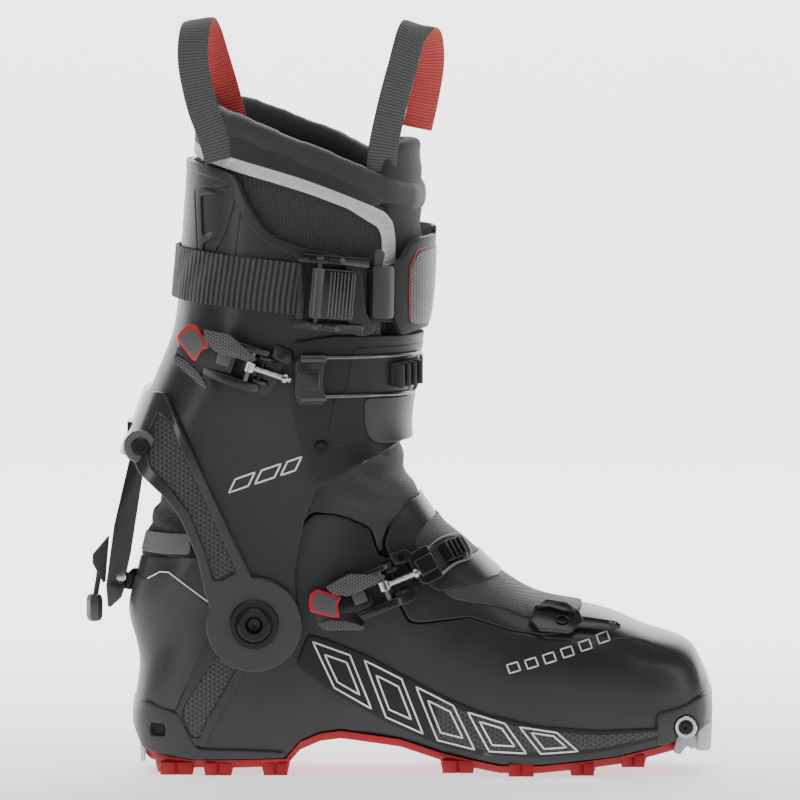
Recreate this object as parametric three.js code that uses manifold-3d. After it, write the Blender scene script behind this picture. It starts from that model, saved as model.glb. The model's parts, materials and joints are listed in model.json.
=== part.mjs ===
// Alpine touring ski boot, right foot. Millimetres, +X to the toe, +Z up, lateral side towards -Y.
// The origin lies on the ground under the middle lug of the heel.
import * as THREE from "three";
import { mergeVertices } from "three/addons/utils/BufferGeometryUtils.js";
import Module from "manifold-3d";

const wasm = await Module();
wasm.setup();

// ---------------------------------------------------------------- driving dimensions
const GAP = 0.35; // running gap between neighbouring pieces
const SHELL_WALL = 3.6;
const CUFF_WALL = 3.2;
const FLAP_WALL = 2.3;
const STRUT_RISE = 3.4; // how far the strut stands off the cuff
const WEB_THICK = 1.9; // power strap webbing
const SOLE_THICK = 4.4;
const LINER_WALL = 6;
const GAITER_WALL = 2;
const PIVOT = [18.9, 79.4]; // cuff hinge, X and Z
const PIVOT_BOLT_R = 12.8;
const EAR_R = 24.5; // round end of the cuff about its hinge
const RAIL_CLEAR_R = 27;
const LINER_FOOT_R = 95; // the foot part of the liner ends at this radius about the hinge
const LINER_CUFF_R = 116; // the leg part of the liner starts at this radius
const GAITER_R = 113.5;
const WALK_PIVOT = [-39.4, 170]; // walk lever hinge, X and Z
const CATCH_BAR = [-50.7, 99.3];
const CATCH_BAR_R = 2.5;
const LEVER_INNER_HALF = 6.4; // half the clear width of the lever's channel
const LEVER_SHEET = 2;
const CORD_D = 2.8;
const LOOP_THICK = 2;
const LOOP_WIDTH = 15;
const TOE_SOCKET = [240.6, 25.1];
const TOE_SOCKET_R = 5;
const TOE_FACE_Y = 31; // the toe inserts' outer faces stand this far from the middle
const FAR = 140; // beyond any surface of the boot

// Sections of the foot, from the toe to the ankle: a low point, a high point, half width, squareness.
const FOOT = [
  [253.6, 12, 254.4, 43, 15, 2.6],
  [249, 8, 250.2, 54, 25, 2.7],
  [240, 4, 241, 69.4, 32.5, 2.8],
  [222, 0, 219, 77, 42, 2.8],
  [196, -4, 197, 86.5, 48.5, 2.7],
  [166, -8, 166, 91.8, 50.5, 2.6],
  [142, -8, 147, 102, 49.5, 2.5],
  [118, -4, 135, 111, 46.5, 2.5],
  [92, 4, 126, 118.5, 43.5, 2.6],
  [62, 6, 116, 126.5, 42, 2.8],
  [34, -6, 109, 136, 42, 3],
  [-2, -12, 103.6, 144, 42.2, 3],
  [-34, 0, 99.5, 151, 42.4, 3],
  [-43, 26, 97, 157.5, 42.5, 2.9],
  [-40.2, 58, 95.6, 163, 42.5, 2.8],
  [-45.6, 83, 95, 168, 42.5, 2.7],
  [-42.6, 100, 95, 173, 42.5, 2.6],
  [-39, 116, 95, 178, 42.5, 2.6],
  [-34.6, 132, 95.4, 184, 42.6, 2.6],
  [-28, 146, 96, 190, 42.8, 2.6],
  [-16, 172, 99, 212, 43, 2.6],
];

// Sections of the leg, from below the hinge to above the cuff.
const LEG = [
  [-72, 34, 116, 34, 46.8, 4.6],
  [-68, 100, 113, 100, 46.8, 4.6],
  [-58, 142, 108, 146, 47.2, 4],
  [-44.8, 172, 96.6, 172, 49, 3.1],
  [-35.8, 195.6, 97.6, 196, 51, 2.7],
  [-23.4, 227, 103.4, 225, 52.4, 2.5],
  [-20, 254.5, 107, 249, 52.8, 2.4],
  [-17, 293, 108.4, 284, 52, 2.4],
  [-13.5, 350, 110, 340, 50, 2.4],
];

// Side outlines as X, Z pairs.
const SOLE_LINE = [
  [-39.5, 12.5], [-34.3, 11.3], [-13.8, 7.9], [34.8, 8.9], [42.5, 18], [52.7, 22.5], [63, 23.6],
  [93.7, 19], [114.2, 12.3], [129.5, 8.7], [145, 5.6], [165.4, 5.8], [186, 7.8], [206.3, 10.4],
  [232, 16.4], [250, 20.5],
];
const TOE_TOP = [
  [256, 24], [254.6, 42], [250.4, 49], [247.3, 60], [242.2, 67.6], [237, 71.2], [216.6, 77.3],
  [203.8, 82], [196, 86.5], [168, 91.4],
];
const FLAP_SEAM = [[168, 73], [150, 76], [129.5, 82.4], [104, 79], [98, 80], [93.7, 88], [88, 112]];
const ANKLE_EDGE = [[82.4, 114.7], [78, 127.5], [68, 132.6], [60, 135], [50, 135.7], [45, 131.6]];
const HEEL_BACK = [
  [-39.6, 112.4], [-40.4, 106], [-43, 98.3], [-44.5, 90.6], [-46, 83], [-44, 72.7],
  [-39.4, 57.3], [-35.3, 41], [-40.4, 39.4], [-41, 33.3], [-38.9, 19],
];
const STRUT_REAR = [
  [-44, 165], [-40.4, 157], [-26.6, 144.4], [-18.9, 134], [-10.2, 113.7], [-6.1, 95.7], [-3.4, 86],
];
const CUFF_FRONT_LOW = [
  [41, 92], [40, 106], [42.5, 121], [45, 134], [50.2, 147], [53.8, 151], [75.8, 162.3],
  [84, 166.5],
];
const CUFF_TOP = [
  [84, 264.8], [74.2, 266.8], [57.9, 269.8], [42.5, 273.4], [32.3, 277], [26, 281], [21, 286.7],
  [16.9, 293], [13.3, 299.5], [10.8, 305.7], [7.7, 309.8], [-1, 312.8], [-11.3, 315.4],
];
const LUGS = [
  [-31.7, -12.3, 0], [-7.2, 7.7, 0], [23, 36.4, 0], [115, 132, 1.5], [149, 163, 0],
  [181, 194, 0.5], [207, 220, 4.6],
];

// ---------------------------------------------------------------- solids
function solidOf(geometry) {
  const flat = geometry.index ? geometry.toNonIndexed() : geometry.clone();
  flat.deleteAttribute("normal");
  flat.deleteAttribute("uv");
  const merged = mergeVertices(flat, 1e-4);
  const make = (triVerts) =>
    new wasm.Manifold(
      new wasm.Mesh({
        numProp: 3,
        vertProperties: new Float32Array(merged.attributes.position.array),
        triVerts,
      }),
    );
  const triVerts = new Uint32Array(merged.index.array);
  const made = make(triVerts);
  if (made.volume() > 0) return made;
  for (let i = 0; i < triVerts.length; i += 3)
    [triVerts[i], triVerts[i + 1]] = [triVerts[i + 1], triVerts[i]];
  return make(triVerts);
}

function geometryOf(solid) {
  const mesh = solid.getMesh();
  const geometry = new THREE.BufferGeometry();
  geometry.setAttribute("position", new THREE.BufferAttribute(mesh.vertProperties, 3));
  geometry.setIndex(new THREE.BufferAttribute(mesh.triVerts, 1));
  const flat = geometry.toNonIndexed();
  flat.computeVertexNormals();
  return flat;
}

const unite = (...solids) => solids.reduce((a, b) => a.add(b));
const common = (...solids) => solids.reduce((a, b) => a.intersect(b));
const largest = (solid) =>
  solid.decompose().reduce((a, b) => (a.volume() > b.volume() ? a : b));

// A solid through a row of sections; each is a superellipse standing on its low and high points.
function loft(stations, sides) {
  const rows = stations.length - 1;
  const geometry = new THREE.CylinderGeometry(1, 1, 1, sides, rows);
  const position = geometry.attributes.position;
  for (let i = 0; i < position.count; i++) {
    const row = Math.round((0.5 - position.getY(i)) * rows);
    const [xl, zl, xh, zh, half, square] = stations[row];
    const across = position.getX(i);
    const along = position.getZ(i);
    const bow = (v) => Math.sign(v) * Math.abs(v) ** (2 / square);
    const t = 0.5 + 0.5 * bow(along);
    position.setXYZ(i, xl + (xh - xl) * t, half * bow(across), zl + (zh - zl) * t);
  }
  return solidOf(geometry);
}

// Moves every section's wall outwards by t; the first section also moves along its own normal.
function grown(stations, t) {
  return stations.map(([xl, zl, xh, zh, half, square], i) => {
    const long = Math.hypot(xh - xl, zh - zl);
    const ux = ((xh - xl) / long) * t;
    const uz = ((zh - zl) / long) * t;
    const shift = i === 0 && stations === FOOT ? t : 0;
    return [xl - ux + shift, zl - uz, xh + ux + shift, zh + uz, half + t, square];
  });
}

const cache = new Map();
function foot(t, sides = 24) {
  const key = ["foot", t, sides].join();
  if (!cache.has(key)) cache.set(key, loft(grown(FOOT, t), sides));
  return cache.get(key);
}
function leg(t, sides = 30) {
  const key = ["leg", t, sides].join();
  if (!cache.has(key)) cache.set(key, loft(grown(LEG, t), sides));
  return cache.get(key);
}
const footSkin = (outer, inner) => foot(outer).subtract(foot(inner));
const legSkin = (outer, inner) => leg(outer).subtract(leg(inner));

// An outline in X and Z, extruded from y0 to y1.
function prism(points, y0 = -FAR, y1 = FAR) {
  const shape = new THREE.Shape(points.map(([x, z]) => new THREE.Vector2(x, z)));
  const geometry = new THREE.ExtrudeGeometry(shape, { depth: y1 - y0, bevelEnabled: false });
  geometry.rotateX(Math.PI / 2);
  geometry.translate(0, y1, 0);
  return solidOf(geometry);
}

function box(x0, x1, y0, y1, z0, z1) {
  const geometry = new THREE.BoxGeometry(x1 - x0, y1 - y0, z1 - z0);
  geometry.translate((x0 + x1) / 2, (y0 + y1) / 2, (z0 + z1) / 2);
  return solidOf(geometry);
}

// A cylinder lying along Y.
function pinY(x, z, r, y0, y1, sides = 18) {
  const geometry = new THREE.CylinderGeometry(r, r, y1 - y0, sides);
  geometry.translate(x, (y0 + y1) / 2, z);
  return solidOf(geometry);
}

// A cylinder lying along X.
function pinX(x0, x1, y, z, r, sides = 16) {
  const geometry = new THREE.CylinderGeometry(r, r, x1 - x0, sides);
  geometry.rotateZ(Math.PI / 2);
  geometry.translate((x0 + x1) / 2, y, z);
  return solidOf(geometry);
}

// A prism in local axes: outline in x and y, rising along z.
function plate(points, z0, z1) {
  const shape = new THREE.Shape(points.map(([x, y]) => new THREE.Vector2(x, y)));
  const geometry = new THREE.ExtrudeGeometry(shape, { depth: z1 - z0, bevelEnabled: false });
  geometry.translate(0, 0, z0);
  return solidOf(geometry);
}

function rod(from, to, r, sides = 16) {
  const a = new THREE.Vector3(...from);
  const b = new THREE.Vector3(...to);
  const geometry = new THREE.CylinderGeometry(r, r, a.distanceTo(b), sides);
  const turn = new THREE.Quaternion().setFromUnitVectors(
    new THREE.Vector3(0, 1, 0),
    b.clone().sub(a).normalize(),
  );
  geometry.applyQuaternion(turn);
  geometry.translate((a.x + b.x) / 2, (a.y + b.y) / 2, (a.z + b.z) / 2);
  return solidOf(geometry);
}

// A round tube along a smooth path.
function tube(points, d, steps, sides = 8, closed = false) {
  const path = new THREE.CatmullRomCurve3(
    points.map((p) => new THREE.Vector3(...p)),
    closed,
    "centripetal",
  );
  const ring = [];
  for (let i = 0; i < sides; i++) {
    const a = (2 * Math.PI * i) / sides;
    ring.push(new THREE.Vector2((d / 2) * Math.cos(a), (d / 2) * Math.sin(a)));
  }
  const shape = new THREE.Shape(ring);
  return solidOf(new THREE.ExtrudeGeometry(shape, { steps, extrudePath: path }));
}

// A flat ribbon: its centre line in X and Z, thickened and extruded across Y.
function ribbon(line, thick, y0, y1) {
  const curve = new THREE.CatmullRomCurve3(line.map(([x, z]) => new THREE.Vector3(x, z, 0)));
  const count = (line.length - 1) * 3;
  const left = [];
  const right = [];
  for (let i = 0; i <= count; i++) {
    const p = curve.getPointAt(i / count);
    const t = curve.getTangentAt(i / count);
    left.push([p.x - (t.y * thick) / 2, p.y + (t.x * thick) / 2]);
    right.unshift([p.x + (t.y * thick) / 2, p.y - (t.x * thick) / 2]);
  }
  return prism([...left, ...right], y0, y1);
}

// ---------------------------------------------------------------- materials and nodes
const paint = (color, roughness, metalness = 0) => ({ color, roughness, metalness });
const SHELL_BLACK = paint(0x26272b, 0.34);
const PANEL_BLACK = paint(0x1b1c1f, 0.5);
const STRUT_BLACK = paint(0x2c2d31, 0.28);
const TEXTURED = paint(0x17181a, 0.66);
const SOLE_RED = paint(0xc8323a, 0.55);
const PAD_RED = paint(0xd23a3c, 0.42);
const WEB_BLACK = paint(0x202124, 0.85);
const WEB_GREY = paint(0x6f7276, 0.85);
const FABRIC_BLACK = paint(0x1e1f22, 0.95);
const FABRIC_WHITE = paint(0xe6e6e4, 0.8);
const GREY_PLASTIC = paint(0x8b8e92, 0.5);
const STEEL = paint(0xb9bcc0, 0.28, 1);
const DARK_STEEL = paint(0x303236, 0.35, 1);

const group = new THREE.Group();
const seen = [];

function node(name, solid, look, parent = group) {
  const mesh = new THREE.Mesh(geometryOf(largest(solid)), new THREE.MeshStandardMaterial(look));
  mesh.name = name;
  parent.add(mesh);
  seen.push(name);
  return mesh;
}

const SIDES = { lateral: -1, medial: 1 };
const half = (side) => (side < 0 ? [-FAR, -1] : [1, FAR]);
// Y range on one side, from a near to a far distance.
const reach = (side, near, far) => (side < 0 ? [-far, -near] : [near, far]);

// ---------------------------------------------------------------- lower shell
const circle = (r) => pinY(PIVOT[0], PIVOT[1], r, -FAR, FAR, 36);
const raise = (line, dz) => line.map(([x, z]) => [x, z + dz]);

const shellOutline = [
  ...SOLE_LINE, ...TOE_TOP, ...FLAP_SEAM, ...ANKLE_EDGE, [41, 124], [0, 113.5],
  ...HEEL_BACK,
];
const cavityOutline = [
  [-32, 17], [-13.8, 13], [34.8, 15], [46, 24], [63, 29.5], [93.7, 25], [129.5, 14.5],
  [165.4, 11.5], [206.3, 15.5], [225, 20], [231, 35], [246, 41], [246, 220], [-60, 220],
  [-60, 72], [-36, 60], [-31, 43], [-32, 30],
];
const PLATE_T = 2.4; // heel plate, let into the heel's rear face
const HEEL_PLATE = { x: -38.9, half: 17, z0: 5.5, z1: 29 };

function toeInsert(side, slack = 0) {
  const [x, z] = TOE_SOCKET;
  const [y0, y1] = reach(side, TOE_FACE_Y - 3.2 - slack, TOE_FACE_Y + slack * 20);
  const s = slack;
  const skirt = prism(
    [[x - 5 - s, z], [x - 3.6 - s, 18.4 - s], [x + 3.6 + s, 18.4 - s], [x + 5 + s, z]],
    y0,
    y1,
  );
  return unite(pinY(x, z, TOE_SOCKET_R + slack, y0, y1), skirt);
}

function heelPlate(slack = 0) {
  const { x, half: h, z0, z1 } = HEEL_PLATE;
  const s = slack;
  return box(x - PLATE_T / 2 - s * 20, x + PLATE_T / 2 + s, -h - s, h + s, z0 - s, z1 + s);
}

function lowerShell() {
  const skin = foot(0).subtract(foot(-SHELL_WALL).intersect(prism(cavityOutline)));
  const cuts = unite(heelPlate(GAP), toeInsert(-1, GAP), toeInsert(1, GAP));
  return skin.intersect(prism(shellOutline)).subtract(cuts);
}
node("lower_shell", lowerShell(), SHELL_BLACK);

// The flap that closes the instep fills the shell's throat and stands a little proud of it.
const flapOutline = [
  [167.6, 73.5], [150.2, 76.6], [129.5, 83], [104.2, 79.7], [98.6, 80.7], [94.4, 88.4],
  [89, 111.8], [86, 121], [90, 131], [99, 141], [140, 160], [167.6, 120],
];
node("instep_flap", footSkin(0.9, -2.6).intersect(prism(flapOutline)), PANEL_BLACK);

// Textured rails run from the ankle to the toe on both sides.
const railOutline = [
  [40, 57.5], [58, 44.5], [88.6, 26.6], [114, 15.5], [134.7, 11], [165, 10], [196, 12.5],
  [229, 19.5], [229, 24.6], [196, 23.5], [165, 25.6], [134.7, 33], [114, 42], [96, 52],
  [78, 62], [56, 71.5], [46.4, 74],
];
for (const [name, side] of Object.entries(SIDES)) {
  const solid = footSkin(2.2, GAP).intersect(prism(railOutline, ...half(side)));
  node("side_rail_" + name, solid.subtract(circle(RAIL_CLEAR_R)), TEXTURED);
}

// ---------------------------------------------------------------- sole
function outsole() {
  const under = raise(SOLE_LINE, -GAP);
  const lower = [...raise(SOLE_LINE, -SOLE_THICK)].reverse();
  const slab = foot(1).intersect(prism([...under, ...lower]));
  const lugs = LUGS.map(([x0, x1, z]) => {
    const block = prism([[x0 - 1.2, z + 9], [x0 + 0.6, z], [x1 - 0.6, z], [x1 + 1.2, z + 9]]);
    const seat = prism([...under, [260, -30], [-60, -30]]);
    return common(foot(1.4), block, seat);
  });
  return unite(slab, ...lugs);
}
const metalWork = unite(heelPlate(GAP), toeInsert(-1, GAP), toeInsert(1, GAP));
node("outsole", outsole().subtract(metalWork), SOLE_RED);


function socketCone(side) {
  const profile = [[0, 0], [3.4, 0], [0.9, -2.6], [0, -2.6]];
  const cone = new THREE.LatheGeometry(profile.map(([r, h]) => new THREE.Vector2(r, h)), 20);
  cone.rotateX(side < 0 ? -Math.PI / 2 : Math.PI / 2);
  cone.translate(TOE_SOCKET[0], side * (TOE_FACE_Y + 0.02), TOE_SOCKET[1]);
  return solidOf(cone);
}
for (const [name, side] of Object.entries(SIDES))
  node("toe_insert_" + name, toeInsert(side).subtract(socketCone(side)), STEEL);

const heelPockets = [-1, 1].map((side) => pinX(-45, -36, side * 11, 19, 2.2));
node("heel_insert", heelPlate().subtract(unite(...heelPockets)), STEEL);

// ---------------------------------------------------------------- cuff
const earDisc = circle(EAR_R);
const CUFF_FRONT = 84; // the cuff is open in front of this
const cuffOutline = [
  [-100, 166], ...STRUT_REAR, [19, 62], [38, 70], ...CUFF_FRONT_LOW, ...CUFF_TOP, [-100, 315.4],
];
const BRACKET_HALF = 12.6;
const leverNotch = box(-70, -28, -BRACKET_HALF - GAP, BRACKET_HALF + GAP, 140, 181);
const BOLT_STEM_R = 5;
const boltHole = pinY(...PIVOT, BOLT_STEM_R + GAP, -FAR, FAR);

function cuffShell() {
  const region = unite(prism(cuffOutline), earDisc);
  const window = prism([[-7, 256], [-9.5, 300], [8, 300], [4.5, 283]], -FAR, FAR);
  const wall = common(legSkin(0, -CUFF_WALL), region).subtract(unite(leverNotch, boltHole));
  return wall.subtract(common(window, legSkin(5, -1.4)));
}
node("cuff_shell", cuffShell(), SHELL_BLACK);

const strutOutline = [
  [-100, 199], [-100, 166], ...STRUT_REAR, [19, 62], [36, 70], [38.4, 90.6], [32.3, 92],
  [19.5, 101], [9.2, 121.3], [-8.7, 159.7], [-27.6, 198],
];
const inlayOutline = [
  [-31, 189], [-24, 184], [-12.4, 158.2], [5, 120.2], [11, 106.5], [2, 101.5], [-2.6, 101],
  [-6.4, 115], [-15, 136.6], [-23.4, 147.6], [-35, 159.6], [-37.5, 168], [-36, 178],
];
const INLAY_DEPTH = 1.3;
function inset(points, cx, cz, k) {
  return points.map(([x, z]) => [cx + (x - cx) * k, cz + (z - cz) * k]);
}
const strutRegion = unite(prism(strutOutline), earDisc);
function strut(side) {
  const wall = common(legSkin(STRUT_RISE, GAP), strutRegion, prism(BOX_ALL, ...half(side)));
  const recess = legSkin(STRUT_RISE + 4, STRUT_RISE - INLAY_DEPTH).intersect(prism(inlayOutline));
  return wall.subtract(unite(leverNotch, boltHole, recess));
}
const BOX_ALL = [[-200, -50], [400, -50], [400, 400], [-200, 400]];
for (const [name, side] of Object.entries(SIDES)) {
  node("strut_" + name, strut(side), STRUT_BLACK);
  const outline = inset(inlayOutline, -12, 145, 0.975);
  const inlay = legSkin(STRUT_RISE - 0.3, STRUT_RISE - INLAY_DEPTH + GAP);
  node("strut_inlay_" + name, inlay.intersect(prism(outline, ...half(side))), TEXTURED);
}

// The bolt's stem runs through strut and cuff to the shell; its head covers the strut's boss.
const BOLT_NEAR = 42.9;
const BOLT_SEAT = 46.8 + STRUT_RISE + 0.4;
function pivotBolt(side) {
  const stem = pinY(...PIVOT, BOLT_STEM_R, ...reach(side, BOLT_NEAR, BOLT_SEAT + 1));
  const head = pinY(...PIVOT, PIVOT_BOLT_R, ...reach(side, BOLT_SEAT, BOLT_SEAT + 2), 24);
  const boss = pinY(...PIVOT, 8.4, ...reach(side, BOLT_SEAT + 1, BOLT_SEAT + 3.4), 20);
  const key = pinY(...PIVOT, 3, ...reach(side, BOLT_SEAT + 1.6, BOLT_SEAT + 9), 6);
  return unite(stem, head, boss).subtract(key);
}
for (const [name, side] of Object.entries(SIDES))
  node("pivot_bolt_" + name, pivotBolt(side), DARK_STEEL);

// ---------------------------------------------------------------- cuff front
const FLAP_OUT = GAP + FLAP_WALL;
const flapFront = [
  [38.4, 197], [43.5, 172.5], [48.6, 154.8], [53.8, 151.6], [75.8, 162.6], [95.2, 172.5],
  [140, 184], [140, 226.5], [60, 228], [39, 225],
];
const medialFlap = [
  [74, 163], [95.2, 172.5], [140, 184], [140, 226.5], [66, 227], [62, 200], [68, 176],
];
function cuffFlap() {
  const region = unite(prism(flapFront, -FAR, 0.5), prism(medialFlap, 0, FAR));
  return legSkin(FLAP_OUT, GAP).intersect(region);
}
const FLAP_RIVET = [53.2, 171];
const flapRivetHole = pinY(...FLAP_RIVET, 2.2, -FAR, 0);
node("cuff_flap", cuffFlap().subtract(flapRivetHole), PANEL_BLACK);

const frontPanel = [
  [77.5, 177], [80.5, 173.2], [86, 172], [130, 176], [130, 195.6], [76, 195.6], [75.8, 184],
];
const frontPanelSkin = legSkin(FLAP_OUT + GAP + 1.3, FLAP_OUT + GAP);
node("front_panel", frontPanelSkin.intersect(prism(frontPanel)), GREY_PLASTIC);

function flapRivet() {
  const [x, z] = FLAP_RIVET;
  const surface = legWidth(x, z) + FLAP_OUT;
  const stem = pinY(x, z, 1.85, -surface - 1, -surface + FLAP_WALL + 0.1);
  return unite(stem, pinY(x, z, 3.6, -surface - 1.4, -surface - GAP));
}

// The leg's section at a height: centre, half depth, half width and squareness.
function legSection(z) {
  const mid = (s) => (s[1] + s[3]) / 2;
  const i = Math.max(1, LEG.findIndex((s) => mid(s) > z));
  const [a, b] = [LEG[i - 1], LEG[i]];
  const t = (z - mid(a)) / (mid(b) - mid(a));
  const [xl, , xh, , wide, square] = a.map((v, k) => v + (b[k] - v) * t);
  return { cx: (xl + xh) / 2, deep: (xh - xl) / 2, wide, square };
}
function legWidth(x, z) {
  const { cx, deep, wide, square } = legSection(z);
  return wide * (1 - Math.abs((x - cx) / deep) ** square) ** (1 / square);
}
// A point on the leg's lateral surface, at an angle from the front, t outside the wall.
function legPoint(z, degrees, t) {
  const { cx, deep, wide, square } = legSection(z);
  const a = (degrees * Math.PI) / 180;
  const bow = (v) => Math.sign(v) * Math.abs(v) ** (2 / square);
  return [cx + (deep + t) * bow(Math.cos(a)), -(wide + t) * bow(Math.sin(a)), z];
}
// Half the width of the foot at a point of its side view.
function footWidth(x, z) {
  const side = ([xl, zl, xh, zh]) => (xh - xl) * (z - zl) - (zh - zl) * (x - xl);
  for (let i = 1; i < FOOT.length; i++) {
    const [p, q] = [side(FOOT[i - 1]), side(FOOT[i])];
    if (p * q > 0) continue;
    const t = p / (p - q);
    const [xl, zl, xh, zh, wide, square] = FOOT[i - 1].map((v, k) => v + (FOOT[i][k] - v) * t);
    const long = (xh - xl) ** 2 + (zh - zl) ** 2;
    const up = (2 * ((x - xl) * (xh - xl) + (z - zl) * (zh - zl))) / long - 1;
    if (Math.abs(up) < 1) return wide * (1 - Math.abs(up) ** square) ** (1 / square);
  }
  return 0;
}
node("flap_rivet", flapRivet(), STEEL);

// ---------------------------------------------------------------- power strap
const slantedBand = (x0, x1) => [
  [x0, 271.6 - (x0 + 20) * 0.1], [x1, 271.6 - (x1 + 20) * 0.1],
  [x1, 245 - (x1 + 20) * 0.1], [x0, 245 - (x0 + 20) * 0.1],
];
const WEB_OUT = GAP + WEB_THICK;
function powerStrap() {
  const lateral = prism(slantedBand(-70, 45), -FAR, 0.1);
  const medial = prism(slantedBand(-70, 84), 0, FAR);
  return legSkin(WEB_OUT, GAP).intersect(unite(lateral, medial));
}
node("power_strap", powerStrap(), WEB_BLACK);

const wrapLateral = [[92.4, 235], [94, 229], [140, 229], [140, 282], [94, 281.6], [92.4, 276]];
const wrapMedial = [[87, 235], [90, 229], [140, 229], [140, 282], [90, 281.6], [87, 276]];
function frontWrap() {
  const pad = legSkin(4.4, 1.6).intersect(
    unite(prism(wrapLateral, -FAR, 0.1), prism(wrapMedial, 0, FAR)),
  );
  const tail = legSkin(WEB_OUT, GAP).intersect(prism(slantedBand(80, 96), -FAR, -1));
  return unite(pad, tail);
}
node("front_wrap", frontWrap(), paint(0x1d1e20, 0.6));

// A group standing on the lateral surface: x along the given turn, y across it, z straight out.
function seat(width, x, z, turnDegrees, lift) {
  const step = 4;
  const fx = (width(x + step, z) - width(x - step, z)) / (2 * step);
  const fz = (width(x, z + step) - width(x, z - step)) / (2 * step);
  const turn = THREE.MathUtils.degToRad(turnDegrees);
  const [dx, dz] = [Math.cos(turn), Math.sin(turn)];
  const out = new THREE.Vector3(-fx, -1, -fz).normalize();
  const along = new THREE.Vector3(dx, -(fx * dx + fz * dz), dz).normalize();
  const g = new THREE.Group();
  g.applyMatrix4(new THREE.Matrix4().makeBasis(along, out.clone().cross(along), out));
  g.position.set(x, -width(x, z), z).addScaledVector(out, lift);
  g.updateMatrix();
  group.add(g);
  g.updateMatrixWorld(true);
  return g;
}

const onBothSides = ([y0, y1], make) => [make(-y1, -y0), make(y0, y1)];
const rect = (x0, x1, y0, y1) => [[x0, y0], [x1, y0], [x1, y1], [x0, y1]];
const rectPlate = (x0, x1, y0, y1, z0, z1) => plate(rect(x0, x1, y0, y1), z0, z1);

// Cam buckle: a frame of two bars on the webbing, with a ribbed cam lever between them.
const CAM = { x: 46, z: 251 };
const camSeat = seat(legWidth, CAM.x, CAM.z, -5, WEB_OUT + 0.3);
const CAM_AXLE_Z = 4.4;
function camFrame() {
  const bars = unite(
    rectPlate(-4.5, 31, 14.6, 19.6, 0, 2.8),
    rectPlate(-4.5, 31, -19.6, -14.6, 0, 2.8),
    rectPlate(-4.1, -0.5, -15, 15, 0.2, 2),
    rectPlate(27, 30.7, -15, 15, 0.2, 2.4),
  );
  const cheeks = onBothSides([15.3, 17.6], (y0, y1) => rectPlate(1.2, 9.8, y0, y1, 1.1, 6.4));
  const axle = rod([5.5, -16.5, CAM_AXLE_Z], [5.5, 16.5, CAM_AXLE_Z], 1.2, 12);
  return unite(bars, ...cheeks, axle);
}
node("cam_frame", camFrame(), PANEL_BLACK, camSeat);

function camLever() {
  const body = rectPlate(1.6, 24, -12.8, 12.8, 2.5, 6.8);
  const barrel = rod([5.5, -12.8, CAM_AXLE_Z], [5.5, 12.8, CAM_AXLE_Z], 3.6, 20);
  const ribs = [12, 16, 20].map((x) => rectPlate(x, x + 1.8, -12, 12, 6.6, 7.6));
  const bore = rod([5.5, -20, CAM_AXLE_Z], [5.5, 20, CAM_AXLE_Z], 1.2 + GAP, 16);
  return unite(body, barrel, ...ribs).subtract(bore);
}
node("cam_lever", camLever(), GREY_PLASTIC, camSeat);

const KEEPER = { x: 82.4, z: 248.6 };
const keeperSeat = seat(legWidth, KEEPER.x, KEEPER.z, -5, 0.5);
function keeper() {
  const outer = rectPlate(-5.4, 5.4, -15.8, 15.8, 3.6, 6);
  const legs = [-1, 1].map((s) =>
    rectPlate(-5.4, 5.4, s < 0 ? -15.8 : 14.2, s < 0 ? -14.2 : 15.8, 0.8, 6),
  );
  return unite(outer, ...legs);
}
node("strap_keeper", keeper().subtract(rectPlate(6, 9, -14, 14, 3, 5)), PANEL_BLACK, keeperSeat);

// ---------------------------------------------------------------- soft inner parts
const LINER_OUT = -SHELL_WALL - 0.6;
const linerFloor = raise(cavityOutline, GAP).map(([x, z]) => [
  x < -50 ? x : Math.min(x < -30 ? x + GAP : x, 245.5),
  z,
]);
const linerInside = raise(linerFloor, LINER_WALL - 1).map(([x, z]) => [Math.min(x, 238), z]);

// Room for the walk lever, which comes forward into the heel as the cuff flexes.
const leverSlot = box(-80, 0, -9.4, 9.4, 90, 200).subtract(circle(69.6));

// The foot of the liner fills the shell and ends on a cylinder about the hinge. It is made in a
// lateral and a medial half, which meet at the middle seam of the boot.
const LINER_SEAM = 0.35; // gap between the two halves
const linerRoom = [[-100, -20], [300, -20], [300, 220], [-100, 220]];
function linerFoot() {
  const outer = foot(LINER_OUT, 18).intersect(prism(linerFloor));
  const inner = foot(LINER_OUT - LINER_WALL, 14).intersect(prism(linerInside));
  const toe = prism([[70, -20], [300, -20], [300, 121], [96, 121]]);
  return outer.subtract(inner).intersect(unite(circle(LINER_FOOT_R), toe)).subtract(leverSlot);
}
for (const [name, side] of Object.entries(SIDES)) {
  const half = side < 0 ? prism(linerRoom, -FAR, -LINER_SEAM / 2) : prism(linerRoom, LINER_SEAM / 2);
  node(`liner_foot_${name}`, linerFoot().intersect(half), FABRIC_BLACK);
}

const insideCuff = leg(-CUFF_WALL - 0.6);
const GAITER_IN = -GAITER_WALL;
const gaiterFront = [
  [83, 115.4], [79, 128.2], [68.4, 133.2], [60, 135.6], [48, 136.6], [42, 128], [30, 124],
  [30, 170], [110, 170], [110, 149], [97.8, 141.4], [88, 131], [85.4, 121.5], [87.6, 113.5],
];
const gaiterHeel = [
  [-60, 113.2], [-38.9, 113.2], [0, 114.3], [26, 121.2], [26, 180], [-60, 180],
];
node(
  "gaiter_front",
  common(footSkin(-0.4, GAITER_IN - 0.4), prism(gaiterFront), insideCuff, circle(GAITER_R)),
  FABRIC_BLACK,
);
node(
  "gaiter_heel",
  common(footSkin(-0.4, GAITER_IN - 0.4), prism(gaiterHeel), insideCuff, circle(LINER_FOOT_R))
    .subtract(leverSlot),
  FABRIC_BLACK,
);
const tagOutline = [[-60, 114.8], [-15, 114.8], [-15, 124.6], [-60, 124.6]];
node(
  "heel_tag",
  common(footSkin(0.9, -0.1), prism(tagOutline, -FAR, -9.6), insideCuff),
  paint(0x77797c, 0.8),
);

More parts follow.
